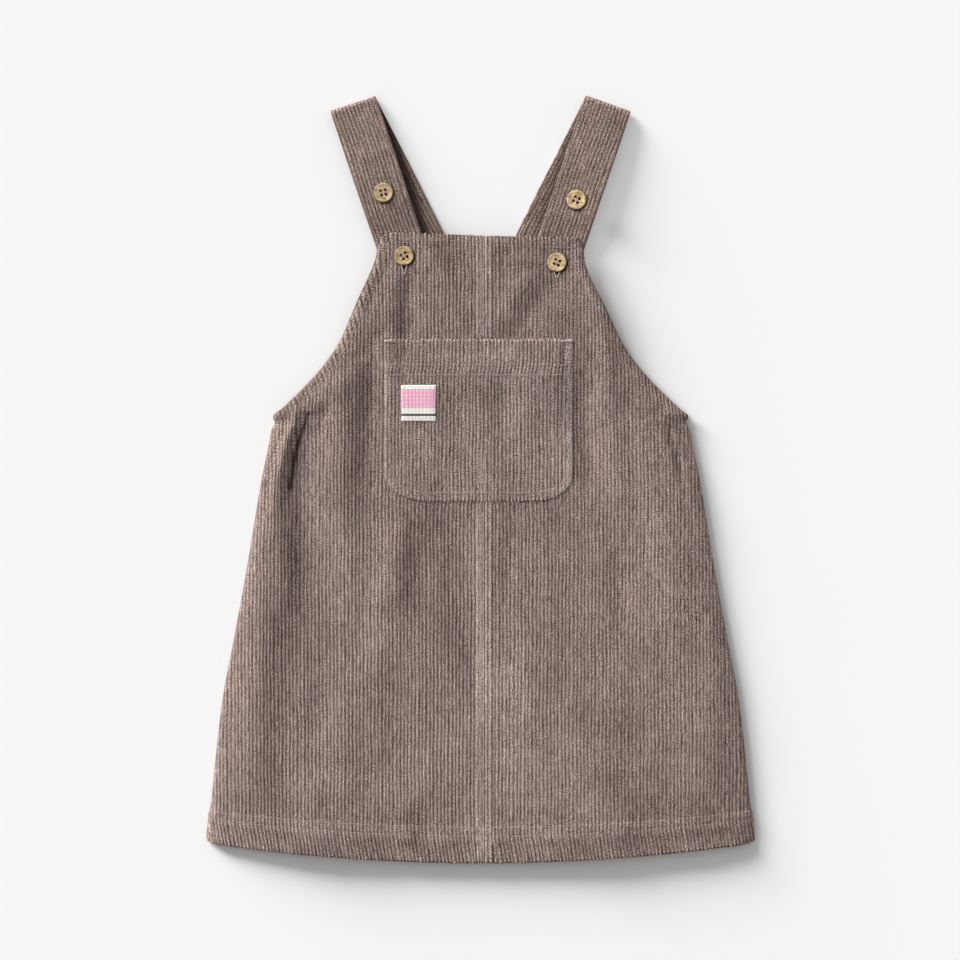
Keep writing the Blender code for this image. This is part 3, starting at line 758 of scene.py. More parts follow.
FRONT_NAP_AND_PAINTED_LIGHT = (  # half width, lighter or darker, points along it
    # the bib, left of the seam
    (77, -0.13, (-143, 1519), (-46, 1253)), (35, -0.14, (-578, 1309), (-570, 1043)),
    (63, -0.10, (-479, 1253), (-437, 938)), (56, -0.09, (-164, 1561), (-46, 1323)),
    (63, 0.35, (-199, 1078), (-18, 1253)), (56, -0.14, (-46, 1309), (-3, 1253)),
    # the bib, right of the seam
    (91, -0.28, (66, 931), (234, 1057)), (70, -0.10, (522, 1253), (556, 903)),
    (98, -0.13, (206, 1589), (500, 1491)), (77, -0.10, (109, 1463), (221, 1309)),
    (70, -0.12, (452, 1253), (479, 1008)),
    # the armhole and underarm, left
    (56, -0.24, (-1389, 497), (-1459, 168), (-1487, -77)),
    (77, -0.40, (-1018, 791), (-1138, 693), (-1333, 553), (-1383, 511)),
    (70, -0.12, (-998, 847), (-829, 917)), (63, -0.20, (-648, 798), (-654, 567)),
    (70, -0.14, (-717, 378), (-788, 133)), (63, -0.10, (-1040, 413), (-1053, 63)),
    (63, -0.12, (-900, 833), (-717, 637)), (35, 0.60, (-1291, 427), (-1333, 329)),
    # the armhole and underarm, right
    (35, -0.30, (1396, 357), (1446, 161)), (63, -0.10, (738, 343), (794, -77)),
    (98, 0.50, (892, 588), (920, 469)), (63, -0.12, (1291, 343), (1242, 63)),
    # the upper skirt, left
    (119, -0.20, (-529, -287), (-284, -329)), (63, -0.16, (-507, -567), (-500, -847)),
    (91, -0.15, (-284, -567), (-227, -1162)), (98, 0.80, (-969, -322), (-955, -777)),
    (42, 0.60, (-1193, 273), (-1229, -182)), (63, -0.12, (-1229, -707), (-1221, -987)),
    (56, -0.14, (-1459, -147), (-1417, -532)), (56, -0.12, (-507, -427), (-466, -581)),
    (42, -0.14, (-179, -511), (-158, -651)), (70, 0.40, (-1229, -7), (-1138, -392)),
    (42, 0.40, (-1229, 168), (-1179, -147)),
    # the upper skirt, right
    (84, -0.15, (1152, 378), (1221, -147)), (56, 0.50, (1565, -287), (1704, -987), (1817, -1687)),
    (77, -0.12, (683, -357), (725, -707)), (63, -0.11, (277, -182), (242, -567)),
    (42, 0.60, (1537, 203), (1600, -287)),
    # the lower skirt, left
    (77, -0.15, (-1348, -1127), (-1333, -1477), (-1417, -1722)), (98, -0.15, (-563, -1477), (-774, -2142)),
    (112, 0.50, (-760, -847), (-774, -1197)), (49, -0.22, (-73, -1232), (-59, -1603)),
    (56, -0.14, (-479, -1127), (-249, -1099)), (84, 0.50, (-1053, -1547), (-1138, -1827)),
    (98, -0.08, (-1530, -1477), (-1459, -2037)),
    # the lower skirt, right
    (91, -0.12, (662, -1197), (711, -1617)), (119, -0.13, (697, -1722), (823, -2037)),
    (91, -0.13, (1116, -1197), (1116, -1652)), (77, -0.14, (1467, -1127), (1515, -1582)),
    (105, -0.24, (1313, -1862), (1530, -1883)), (154, 0.50, (206, -1862), (137, -1407)),
    (91, -0.12, (312, -917), (452, -1197)), (98, -0.08, (697, -1127), (752, -2107)),
    (84, -0.08, (1467, -1197), (1537, -2002)), (63, -0.12, (1032, -1743), (1075, -1911)),
    # the hem, left
    (70, -0.11, (-1613, -1827), (-1565, -2142)), (84, -0.12, (-1278, -2331), (-1235, -2401)),
    (91, -0.15, (-857, -2471), (-578, -2303)), (98, -0.15, (-459, -2373), (-284, -2541)),
    (84, 0.50, (-1089, -2513), (-1040, -2583)), (49, 0.70, (-1837, -1477), (-1872, -1967), (-1886, -2331)),
    (70, -0.16, (-900, -2429), (-801, -2499)), (63, -0.14, (-578, -2429), (-522, -2513)),
    # the hem, right
    (140, -0.13, (990, -2177), (1187, -1967)), (112, -0.12, (1187, -2527), (1711, -2387)),
    (98, -0.14, (416, -2387), (500, -2331)), (98, -0.14, (1257, -2142), (1341, -2247)),
    (84, -0.08, (1012, -2261), (1691, -2401)), (70, -0.12, (493, -2331), (599, -2429)),
    (63, -0.12, (1565, -2373), (1719, -2415)),
)
# Painted shade along the bottom of the fold at the left underarm.
FOLD_PAINTED_SHADE = ((-1207, 455), (-1242, 343), (-1278, 238), (-1305, 119), (-1333, -77))
FOLD_PAINTED_SHADE_WIDTH = 0.0018


def fold_rise(x, y, folds):
    """Rise of soft ridges and troughs, each fading out at its ends."""
    total = np.zeros(np.shape(x))
    for spread, rise, *line in folds:
        spread, (start, end) = spread / TENTHS, np.array(line) / TENTHS
        along, across, length = along_and_across(x, y, start, end)
        past = np.maximum(np.abs(along - length / 2) - length / 2, 0)
        strength = 0.35 + 0.65 * ease(1.6 * left_of(np.abs(2 * along / length - 1), 1))
        total += rise / TENTHS * strength * np.exp(-((across / spread) ** 2) - (past / (2 * spread)) ** 2)
    return total


def nearest_on_line(x, y, line):
    """Distance of points from a bent line, how far along it the nearest place is, and its length."""
    gap, run = np.full(np.shape(x), 1.0), np.zeros(np.shape(x))
    before = 0.0
    for start, end in zip(line[:-1], line[1:]):
        along, across, length = along_and_across(x, y, start, end)
        on = np.clip(along, 0, length)
        off = np.hypot(across, along - on)
        run = np.where(off < gap, before + on, run)
        gap = np.minimum(gap, off)
        before += length
    return gap, run, before


def crease_rise(x, y, creases):
    """Rise of soft creases along bent lines; each is strongest in its middle."""
    total = np.zeros(np.shape(x))
    for spread, rise, *line in creases:
        gap, run, whole = nearest_on_line(x, y, np.array(line) / TENTHS)
        middle = 1 - np.abs(2 * run / whole - 1)
        total += rise / TENTHS * (0.25 + 0.75 * ease(1.5 * middle)) * bell(gap, spread / TENTHS)
    return total


def nap_and_painted_light(x, y, table):
    """How much lighter or darker the pile is than in the rest of the cloth: partly nap, partly painted light
    and shade.
    """
    total = np.zeros(np.shape(x))
    for spread, tone, *line in table:
        gap, _, _ = nearest_on_line(x, y, np.array(line) / TENTHS)
        total += tone * bell(gap, spread / TENTHS)
    return total


def small_waves(x, y):
    """The cloth never lies quite flat: small waves, mostly along the wales."""
    waves = 0.00016 * np.sin(x / 0.0046 + 1.4 * np.sin(y / 0.037) + y / 0.050)
    waves += 0.00014 * np.sin(x / 0.0067 - y / 0.041 + 2.0 * np.sin(y / 0.060 + 1.0))
    waves += 0.00012 * np.sin(x / 0.0105 + y / 0.019 + 1.5 * np.sin(x / 0.033))
    return waves * (0.7 + 0.5 * np.sin(x / 0.043 + y / 0.071))


def strap_cover(x, y, angle, ends, over):
    """1 over a stretch of either strap's run, falling to 0 away from it."""
    cover = np.zeros(np.shape(x))
    for side in (-1, 1):
        start, end = (strap_place(side, angle, distance) for distance in ends)
        along, across, length = along_and_across(x, y, start, end)
        past_end = np.abs(along - length / 2) - length / 2
        past_side = np.abs(across) - STRAP_WIDTH / 2
        away = np.hypot(np.maximum(past_end, 0), np.maximum(past_side, 0))
        cover = np.maximum(cover, fade(away, COVER_MARGIN, over))
    return cover


def bib_tilt(x, y):
    """How far the bib's top stands askew at a place."""
    return BIB_TILT * x * ease((y - POCKET_TOP_Y) / BIB_TILT_OVER)


def front_y(x, row):
    return row + hem_shift(x, row) + bib_tilt(x, row)


def soft_floor(z, lowest, softness):
    """Height kept above a lowest one, with no sharp bend where it comes down to it."""
    above = z - lowest
    return lowest + (above + np.hypot(above, softness)) / 2


def front_face(x, row):
    """The front's upper side, without wales and seams."""
    y = front_y(x, row)
    crest, spread, rise, widens, gone, begins = (np.where(x < 0, *both) for both in zip(*SIDE_ROLL))
    rise = rise * (1 - gone * fade(row, HEM_Y, begins))
    crest = crest + widens * np.clip(-y / LENGTH, 0, 1)
    inside = half_width(y, FRONT_ARMHOLE) - np.abs(x)
    roll = rise * bell(inside - crest, spread) * fade(y, UNDERARM_Y, ROLL_FADE)
    lift = HEM_LIFT * ease((x - LIFTED[0]) / LIFT_OVER[0]) * ease((LIFTED[1] - x) / LIFT_OVER[1])
    lift = lift * fade(row, HEM_Y, LIFT_UP)
    z = soft_floor(FRONT_LIE + roll + lift + fold_rise(x, y, FOLDS), FRONT_LOWEST, LOWEST_SOFTNESS)
    inside = np.maximum(side_edge(row, FRONT_ARMHOLE) - np.abs(x), 0)
    opened, apart = opening(row)
    sewn = turn_share(inside, FRONT_TURN)
    free = 1 - left_of(inside, ARMHOLE_DROOP) ** 2
    foot = seam_height(row) + SEAM_GROOVE / 2
    edge_z = foot + (ARMHOLE_LIE - foot) * apart
    z = edge_z + (z - edge_z) * (sewn + (free - sewn) * opened)
    # The stiff cloth spans between the straps and comes down slowly below them.
    spans = ease((inside - SPAN_FROM) / SPAN_OVER)
    for top, angle, start, run in (
        (BIB_OVER_BACK_RUN, BACK_RUN_ANGLE, BACK_RUN_UNDER, BACK_RUN),
        (BIB_OVER_STRAP, FRONT_RUN_ANGLE, FRONT_RUN_UNDER, FRONT_RUN),
    ):
        near, far = (strap_cover(x, y, angle, (start, run[-1][0]), over) for over in (NEAR_FADE, FAR_FADE))
        level = np.maximum(top - z, 0) if run is BACK_RUN else top - z
        z = z + level * np.maximum(near, far * spans)
    lowest = foot + (EDGE_LOWEST - foot) * turn_share(inside, LOWEST_TURN)
    z = z + (crease_rise(x, y, CREASES) + small_waves(x, y)) * ease(inside / CREASE_FREE)
    return np.stack([x, y, soft_floor(z, lowest, EDGE_SOFTNESS)], -1)


# Rows of topstitching, and how the turned-in cloth under them shows.
HEM_STITCHES = (0.0189, 0.0252)  # above the hem's edge
BIB_STITCH = 0.0066  # below the bib's top
ARMHOLE_STITCH = 0.0060
SEAM_STITCH = 0.0030  # each side of the centre seam
SEAM_BAND = 0.0052  # half the width of the pressed-open seam
STITCH_PRESS = 0.00035
STITCH_WIDTH = 0.0007
LAYER_RISE = 0.00035  # height of a turned-in layer under the cloth
HEM_RISES = 0.00045
BAND_RISE = 0.00050
LAYER_STEP = 0.0012  # the cloth comes down over this width from such a layer
SEAM_SINK = 0.0003
EDGE_RADIUS = 0.0012  # a folded edge rolls over
EDGE_DROP = 0.0009
SCALLOP = 0.0018
SCALLOP_REACH = 0.0015
WALE_BEND = 0.0014  # the wales crowd towards the crest of a fold
HEM_DROOP = 0.0016
HEM_LEAN = 0.0030  # the wales lean over this far in the turned hem
ARMHOLE_LEAN = (0.0040, 0.0013)  # left and right

y = np.linspace(UNDERARM_Y, BIB_TOP_Y, 120)
armhole_line = np.stack([half_width(y, FRONT_ARMHOLE), y], 1)
armhole_line[0, 0] = FRONT_ARMHOLE[0][1]


def from_armhole(x, y):
    """Distance from the armhole's edge, whose first stretch doesn't count below its end."""
    gap = np.full(np.shape(x), 1.0)
    near = np.flatnonzero(y.ravel() > UNDERARM_Y - 0.020)
    px, py = np.abs(x).ravel()[near], y.ravel()[near]
    best = np.full(len(near), 1.0)
    for start, end in zip(armhole_line[:-1], armhole_line[1:]):
        along, across, length = along_and_across(px, py, start, end)
        off = np.hypot(across, along - np.clip(along / length, 0, 1) * length)
        past_end = (along < 0) & (start[1] == UNDERARM_Y)
        best = np.minimum(best, np.where(past_end, 1.0, off))
    gap.ravel()[near] = best
    return gap


def press(distance):
    """A row of stitches pulls the cloth down into a narrow groove."""
    return -STITCH_PRESS * bell(distance, STITCH_WIDTH)


def layer(distance, ends, height=LAYER_RISE):
    """The step up onto a turned-in layer, which ends at a distance."""
    return height * fade(distance, ends, LAYER_STEP)


def edge_round(distance, radius=EDGE_RADIUS, drop=EDGE_DROP):
    """A folded edge rolls over."""
    return -drop * (1 - turn_share(distance, radius))


def front_seams(x, row):
    """Rise of the turned and seamed parts above the plain cloth, and how much lighter or darker their pile
    is, partly with painted light and shade.
    """
    y = front_y(x, row)
    above_hem, below_top = row - HEM_Y, BIB_TOP_Y - row
    arm = from_armhole(x, y)
    seam = np.abs(x - SEAM_X)
    hem = layer(above_hem, HEM_STITCHES[1], HEM_RISES)
    hem = hem - HEM_DROOP * left_of(above_hem, HEM_STITCHES[0]) ** 1.5
    band = layer(seam, SEAM_BAND - LAYER_STEP / 2, BAND_RISE)
    rise = np.maximum.reduce([hem, layer(below_top, BIB_STITCH), layer(arm, ARMHOLE_STITCH), band])
    rise += sum(press(above_hem - up) for up in HEM_STITCHES)
    rise += press(below_top - BIB_STITCH) + press(arm - ARMHOLE_STITCH) + press(seam - SEAM_STITCH)
    rise += -SEAM_SINK * bell(seam, STITCH_WIDTH)
    rise += sum(edge_round(distance) for distance in (above_hem, below_top, arm))
    # The pile's tone: lighter at the folded edges and along the pressed seam, darker just below the bib's
    # top.
    wear_and_painted_light = 0.30 * bell(np.minimum(above_hem, arm), 0.0012) + 0.70 * bell(seam - 0.0022, 0.0030)
    wear_and_painted_light -= 0.30 * bell(below_top, 0.0009)
    wear_and_painted_light += 0.40 * bell(above_hem - HEM_STITCHES[0], 0.0045)
    # Painted shade in the grooves of the hem's stitch rows.
    wear_and_painted_light -= sum(0.22 * bell(above_hem - up, STITCH_WIDTH) for up in HEM_STITCHES)
    # Patches of nap and of painted light and shade, and the buttons' painted shadows.
    wear_and_painted_light += nap_and_painted_light(x, y, FRONT_NAP_AND_PAINTED_LIGHT) - painted_button_shadow(x, y)
    # Painted shade along the bottom of the underarm fold.
    wear_and_painted_light -= 0.9 * bell(nearest_on_line(x, y, np.array(FOLD_PAINTED_SHADE) / TENTHS)[0], FOLD_PAINTED_SHADE_WIDTH)
    return rise, np.clip(wear_and_painted_light, -1, 1)


def front_lean(x, row):
    """How far the wales lean where the cloth is turned in."""
    at_armhole = left_of(from_armhole(x, front_y(x, row)), ARMHOLE_STITCH + 0.001)
    return HEM_LEAN * left_of(row - HEM_Y, HEM_STITCHES[0]) - np.where(x < 0, *ARMHOLE_LEAN) * at_armhole


front_rows = row_heights(
    (HEM_Y, HEM_Y + 0.0016, 0.0004),
    (HEM_Y + 0.0016, HEM_Y + 0.0290, 0.0011),
    (HEM_Y + 0.0290, 0.0240, 0.0034),
    (0.0240, 0.0740, 0.0008),
    (0.0740, 0.1450, 0.0016),
    (0.1450, BIB_TOP_Y - 0.0016, 0.0009),
    (BIB_TOP_Y - 0.0016, BIB_TOP_Y, 0.0004),
)


def front_panel(name, side):
    """One half of the front, from the centre seam to its side."""
    count = (math.ceil((SKIRT_SIDE[0][1] - side * SEAM_X) / WALE) + 3) * WALE_SAMPLES
    first = 0.3 * side  # the seam runs on the flank of a wale
    phase = np.arange(count + 1) / WALE_SAMPLES * side + first
    if side < 0:
        phase = phase[::-1]
    phase, row = np.meshgrid(phase, front_rows)
    seam_x = SEAM_X + side * SEAM_GAP / 2
    place = seam_x + wale_place(phase, 7) - wale_place(np.array([first]), 7)
    shown = ease(np.abs(place - SEAM_X) / 0.012)
    tilt = normals_of(front_face, place, row, 0.0010)
    bend = WALE_BEND * tilt[..., 0] / tilt[..., 2]
    x = place - (wander(place, row) + bend - front_lean(place, row)) * shown
    edge = side_edge(front_rows, FRONT_ARMHOLE)
    seam = np.full(len(front_rows), seam_x)
    low, high = (-edge, seam) if side < 0 else (seam, edge)
    x_in, inner_grid = clipped_grid(x[:, ::WALE_SAMPLES], low, high)
    x, outer_grid = clipped_grid(x, low, high)
    rise, wear_and_painted_light = front_seams(x, row)
    relief = wale_relief(phase, row) * ease((edge[:, None] - np.abs(x)) / 0.0030)
    flatter = 1 - 0.32 * ease((x + 0.02) / 0.10)
    out = rise + 0.0001 - WALE_DEPTH * flatter * (1 - relief)
    outer = front_face(x, row) + out[..., None] * normals_of(front_face, x, row)
    # The wales' ends make the folded edges scalloped.
    above_hem, below_top = row - HEM_Y, BIB_TOP_Y - row
    ends = left_of(below_top, SCALLOP_REACH) - left_of(above_hem, SCALLOP_REACH)
    outer[..., 1] += SCALLOP * ends * (relief - 0.6)
    # Painted light and shade in the right armhole's band: its ridges lighter, its furrows darker.
    in_band = (from_armhole(x, front_y(x, row)) < ARMHOLE_STITCH) & (x > 0) & (row > UNDERARM_Y - 0.004)
    wear_and_painted_light = wear_and_painted_light + in_band * (0.6 * relief - 0.45)
    # At the hem's edge the ridge ends are lighter, with painted shade in the gaps between them; painted shade
    # in the furrow ends below the bib's top.
    wear_and_painted_light = wear_and_painted_light + (0.5 - 2.2 * (1 - relief)) * bell(above_hem, 0.0012)
    wear_and_painted_light = wear_and_painted_light - 0.9 * (1 - relief) * bell(below_top, 0.0011)
    row_in = row[:, ::WALE_SAMPLES]
    inner = front_face(x_in, row_in) - CLOTH * normals_of(front_face, x_in, row_in)
    cloth = np.stack([phase, row * MILLIMETRES, wear_and_painted_light], -1)
    return closed_cloth(name, outer, outer_grid, inner, inner_grid, cloth)


front_left = front_panel("front_left_corduroy", -1)
front_right = front_panel("front_right_corduroy", 1)

for panel, stands_for in ((front_left, "front_left"), (front_right, "front_right")):
    panel.data.materials.append(corduroy)
    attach(panel, "root")
    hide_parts(stands_for)


# ------------------------------------------------------------------ patch pocket
# One piece of corduroy with rounded lower corners, turned in all round. Its mouth has a
# deep hem with two rows of stitching, and one row holds it to the front.

POCKET_X = (-0.0674, 0.0650)
POCKET_BOTTOM_Y = -0.0158
POCKET_CORNERS = ((0.0300, 0.0205), (0.0262, 0.0190))  # left and right: across, up
POCKET_RISE = 0.0006
POCKET_EDGE_STITCH = 0.0065
POCKET_HEM_STITCHES = (0.0800, 0.0729)
POCKET_LEAN = 0.0013
POCKET_BAND = 0.0055  # width of the turned-in edge
POCKET_LAYER = 0.00015
POCKET_FURROWS = 0.66  # its wales are pressed flatter than the front's
POCKET_UNDER = 0.0006
POCKET_WALE = 200  # its wales are counted from here
# Patches on the pocket: partly nap, partly painted light and shade.
POCKET_NAP_AND_PAINTED_LIGHT = (  # half width, lighter or darker, points along it
    (14, -0.60, (577, 938), (577, 819)), (98, 0.60, (-249, 847), (66, 791), (312, 749)),
    (105, 0.45, (416, 658), (570, 203)), (84, -0.22, (-473, 378), (-430, -49)),
    (84, -0.22, (-171, 238), (-32, -77)), (49, -0.10, (199, 497), (199, 217)),
    (42, -0.25, (-500, 973), (-452, 805)), (42, -0.25, (95, 938), (221, 952)),
    (49, -0.22, (437, 959), (500, 847)),
)
POCKET_CREASES = (  # half width, rise, points along it
    (56, -6, (-549, 959), (-536, 623)), (56, 5, (-367, 273), (-311, -77)),
    (77, -10, (171, 903), (179, 553), (158, 273)), (119, 10, (347, 903), (360, 588), (333, 273)),
    (196, 10, (32, 938), (24, 518)), (63, -3, (-255, 518), (-87, 133), (137, -91)),
    (315, 4, (360, 973), (347, 203)),
)


def pocket_sides(y):
    """Left and right edge of the pocket at a height."""
    sides = []
    for x, (across, up), side in zip(POCKET_X, POCKET_CORNERS, (-1, 1)):
        sides.append(x - side * across * (1 - turn_share(y - POCKET_BOTTOM_Y, up)))
    return sides


low = POCKET_BOTTOM_Y + 0.0210 * (1 - np.cos(np.linspace(0, math.pi / 2, 24)))
y = np.concatenate([low, np.linspace(low[-1], POCKET_TOP_Y, 12)[1:]])
left, right = pocket_sides(y)
# The sewn edge of the pocket, from the mouth's left end round the bottom to its right end.
pocket_edge = np.concatenate([np.stack([left, y], 1)[::-1], np.stack([right, y], 1)])


def from_pocket_edge(x, y):
    return nearest_on_line(x, y, pocket_edge)[0]


def pocket_face(x, y):
    """The pocket's outer side, without wales and seams: it bulges a little on its own."""
    own = crease_rise(x, y, POCKET_CREASES) * ease((from_pocket_edge(x, y) - POCKET_BAND) / 0.0080)
    return front_face(x, y) + np.stack([0 * x, 0 * x, POCKET_RISE + np.maximum(own, -0.0012)], -1)


pocket_rows = row_heights(
    (POCKET_BOTTOM_Y, POCKET_BOTTOM_Y + 0.0030, 0.0004),
    (POCKET_BOTTOM_Y + 0.0030, POCKET_BOTTOM_Y + 0.0220, 0.0009),
    (POCKET_BOTTOM_Y + 0.0220, 0.0700, 0.0022),
    (0.0700, 0.0830, 0.0009),
    (0.0830, POCKET_TOP_Y - 0.0020, 0.0015),
    (POCKET_TOP_Y - 0.0020, POCKET_TOP_Y, 0.0004),
)
reach = (math.ceil(POCKET_X[1] / WALE) + 3) * WALE_SAMPLES
phase = np.arange(-reach, reach + 1) / WALE_SAMPLES + POCKET_WALE
phase, row = np.meshgrid(phase, pocket_rows)
place = wale_place(phase, 4) - POCKET_WALE * WALE
hem_top, hem_low = POCKET_HEM_STITCHES
lean = POCKET_LEAN * np.clip((row - hem_low) / (hem_top - hem_low), 0, 1)
x = place - wander(place + 0.3, row) + lean
left, right = pocket_sides(pocket_rows)
x_in, inner_grid = clipped_grid(x[:, ::WALE_SAMPLES], left, right)
x, outer_grid = clipped_grid(x, left, right)
edge, below_top, above_bottom = from_pocket_edge(x, row), POCKET_TOP_Y - row, row - POCKET_BOTTOM_Y

low_part = fade(above_bottom, 0.006, 0.010)
flat_band = fade(edge, 0.0045, 0.0025) * (1 - low_part)
relief = 1 - (1 - wale_relief(phase, row)) * (1 - 0.55 * flat_band)
rise = np.maximum(layer(-row, -hem_low, POCKET_LAYER), layer(edge, POCKET_EDGE_STITCH, POCKET_LAYER))
rise += sum(press(row - up) for up in POCKET_HEM_STITCHES) + press(edge - POCKET_EDGE_STITCH)
rise += edge_round(edge, 0.0011) + edge_round(below_top, 0.0011, 0.0007)
out = rise - POCKET_FURROWS * WALE_DEPTH * (1 - relief)
outer = pocket_face(x, row) + out[..., None] * normals_of(pocket_face, x, row)
ends = left_of(below_top, SCALLOP_REACH) - left_of(above_bottom, 0.0012)
outer[..., 1] += SCALLOP * ends * (relief - 0.6)
row_in = row[:, ::WALE_SAMPLES]
inner = pocket_face(x_in, row_in) - POCKET_UNDER * normals_of(pocket_face, x_in, row_in)

# The pocket's tone: a little lighter than the front and lighter along its edges and turned-in band, with
# patches of nap and of painted light and shade.
wear_and_painted_light = 0.18 + 0.4 * bell(np.minimum(edge, below_top), 0.0010) + nap_and_painted_light(x, row, POCKET_NAP_AND_PAINTED_LIGHT)
wear_and_painted_light += 0.10 * fade(edge, POCKET_BAND, 0.0012)
# The right turned-in band lighter, partly its pressed pile and partly painted light; a painted highlight
# along the left edge.
wear_and_painted_light += 0.85 * fade(edge, POCKET_BAND, 0.0010) * (x > 0.05) * (1 - 0.6 * low_part)
wear_and_painted_light += 1.1 * bell(edge - 0.0006, 0.0009) * (x < -0.035)
# Lighter on the ridges along the hem's stitch rows, and painted shade in the furrow ends at the bottom edge.
wear_and_painted_light += sum(0.7 * relief * bell(row - up, STITCH_WIDTH) for up in POCKET_HEM_STITCHES)
wear_and_painted_light -= 1.1 * (1 - relief) * bell(above_bottom, 0.0011)
cloth = np.stack([phase, row * MILLIMETRES, np.clip(wear_and_painted_light, -1, 1)], -1)
pocket = closed_cloth("pocket_corduroy", outer, outer_grid, inner, inner_grid, cloth)
pocket.data.materials.append(corduroy)
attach(pocket, "root")
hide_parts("pocket")


# ------------------------------------------------------------------ woven label
# A small cotton label sewn to the pocket: cream, with a broad woven band, pin dots in it
# and one thin stripe below.

LABEL_X = (-0.0552, -0.0311)
LABEL_Y = (0.0404, 0.0656)
LABEL_THICK = 0.0005
BAND = (9.2, 22.4)  # from the label's lower edge, in millimetres
STRIPE = (3.6, 5.2)
DOTS_APART = (2.4, 2.64)
DOT_SIZE = 0.17  # radius, of the space between dots
THREADS = (0.30, 0.34)  # width of two threads of the weave, in millimetres


def slab(name, top, thickness, cloth):
    """A closed thin sheet under a grid of points; cloth is an attribute of its points."""
    rows, columns = top.shape[:2]
    normal = unit(np.cross(np.gradient(top, axis=1), np.gradient(top, axis=0)))
    ids = np.arange(rows * columns).reshape(rows, columns)
    under = ids + rows * columns
    faces = grid_faces(ids, False) + grid_faces(under, True)
    ring = np.concatenate([ids[0, :-1], ids[:-1, -1], ids[-1, :0:-1], ids[:0:-1, 0]])
    after = np.roll(ring, -1)
    faces += np.stack([ring, ring + rows * columns, after + rows * columns, after], 1).tolist()
    return new_piece(name, np.stack([top, top - thickness * normal]), faces, np.stack([cloth, cloth]))


def stretched(tree, place, sizes):
    """Places for a noise, with a size each way."""
    return node(tree, "VectorMath", {0: place, 1: sizes}, operation="MULTIPLY").outputs[0]


def label_material():
    """Fine plain weave in cream, rose and charcoal thread."""
    made, tree, shader = blank_material("label_cotton")
    place = point_value(tree, "cloth")["Vector"]
    x, y, _ = node(tree, "SeparateXYZ", {0: place}).outputs

    def between(value, low, high):
        above, below = calc(tree, "GREATER_THAN", value, low), calc(tree, "LESS_THAN", value, high)
        return calc(tree, "MULTIPLY", above, below)

    def from_middle(value, apart):
        """Distance from the middle of a repeat, squared."""
        off = calc(tree, "SUBTRACT", calc(tree, "FRACT", calc(tree, "DIVIDE", value, apart)), 0.5)
        return calc(tree, "MULTIPLY", off, off)

    def wave(value, long):
        return calc(tree, "SINE", calc(tree, "MULTIPLY", value, 2 * math.pi / long))

    dot_y = from_middle(calc(tree, "SUBTRACT", y, BAND[0]), DOTS_APART[1])
    from_dot = calc(tree, "SQRT", calc(tree, "ADD", from_middle(x, DOTS_APART[0]), dot_y))
    band = calc(tree, "MULTIPLY", between(y, *BAND), calc(tree, "GREATER_THAN", from_dot, DOT_SIZE))
    weave = calc(tree, "MULTIPLY", wave(x, THREADS[0]), wave(y, THREADS[1]))
    speck = noise(tree, stretched(tree, place, (1.4, 2.6, 1.0)), 3.0, 0.6)
    colour = blend_colour(tree, band, (0.970, 0.930, 0.850, 1), (0.970, 0.460, 0.630, 1))
    colour = blend_colour(tree, between(y, *STRIPE), colour, (0.090, 0.085, 0.085, 1))
    light = calc(tree, "MULTIPLY_ADD", weave, 0.10, calc(tree, "MULTIPLY_ADD", speck, 0.30, 0.98))
    fill(tree, shader, {
        "Base Color": lit_colour(tree, colour, light),
        "Normal": bump(tree, 0.5, 0.0001, weave),
        "Roughness": 0.8,
        "Specular IOR Level": 0.25,
        "Sheen Weight": 0.1,
    })
    return made


wide, long = np.ptp(LABEL_X), np.ptp(LABEL_Y)
across, up = np.meshgrid(np.linspace(0, wide, 49), np.linspace(0, long, 51))
x, y = LABEL_X[0] + across, LABEL_Y[0] + up
cloth = np.stack([across, up, 0 * up], -1) * MILLIMETRES
edge = np.minimum.reduce([across, wide - across, up, long - up])
lift = 0.0006 - 0.0003 * bell(edge, 0.0006) - 0.00018 * bell(edge - 0.0016, 0.0004)
lift += 0.00006 * np.sin(x * 2 * math.pi / WALE) + 0.0001 * np.sin(y / 0.004 + x / 0.009)
x = x + 0.00015 * np.sin(y / 0.0043) * (2 * across / wide - 1)
top = pocket_face(x, y) + lift[..., None] * np.array([0, 0, 1])
label = slab("label_cotton", top, LABEL_THICK, cloth)
label.data.materials.append(label_material())
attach(label, "root")
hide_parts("label")


# ------------------------------------------------------------------ buttons
# Four turned buttons of corozo nut with a raised rim and four sewing holes. Two close the
# straps on the bib, and two spare ones sit higher up the straps.

BUTTON_THICK = 0.0023
BUTTON_SINK = 0.0004  # the thread pulls it into the pile
BUTTON_HOLE_RADIUS = 0.00112
BUTTON_HOLE_SPACING = 0.0030
RIM_FROM = 0.0056  # the rim's painted shade starts this far out
RIM_OVER = 0.0010
FOOT_RADIUS = 0.0063
FOOT_HEIGHTS = (0.0003, 0.0007)
FOOT_SIDES = 32
BUTTON_PROFILE = (  # radius, height
    (0.0000, 0.00185),
    (0.0030, 0.00186),
    (0.0047, 0.00190),
    (0.0052, 0.00202),
    (0.0056, 0.00220),
    (0.0060, 0.00229),
    (0.0064, 0.00228),
    (0.0067, 0.00214),
    (0.0069, 0.00188),
    (0.0070, 0.00150),
    (0.0069, 0.00095),
    (0.0066, 0.00045),
    (0.0060, 0.00012),
    (0.0052, 0.00000),
    (0.0000, 0.00000),
)
THREAD_RADIUS = 0.00016
THREAD_HALF = 0.78  # how far a bundle of thread reaches, of the way to the holes' middles
DIPS_FROM = 0.56  # and from where it dips into the holes
THREAD_RISE = 0.00200
THREAD_DIP = 0.0014
STRANDS_OFF = 0.00015  # two strands side by side in a bundle


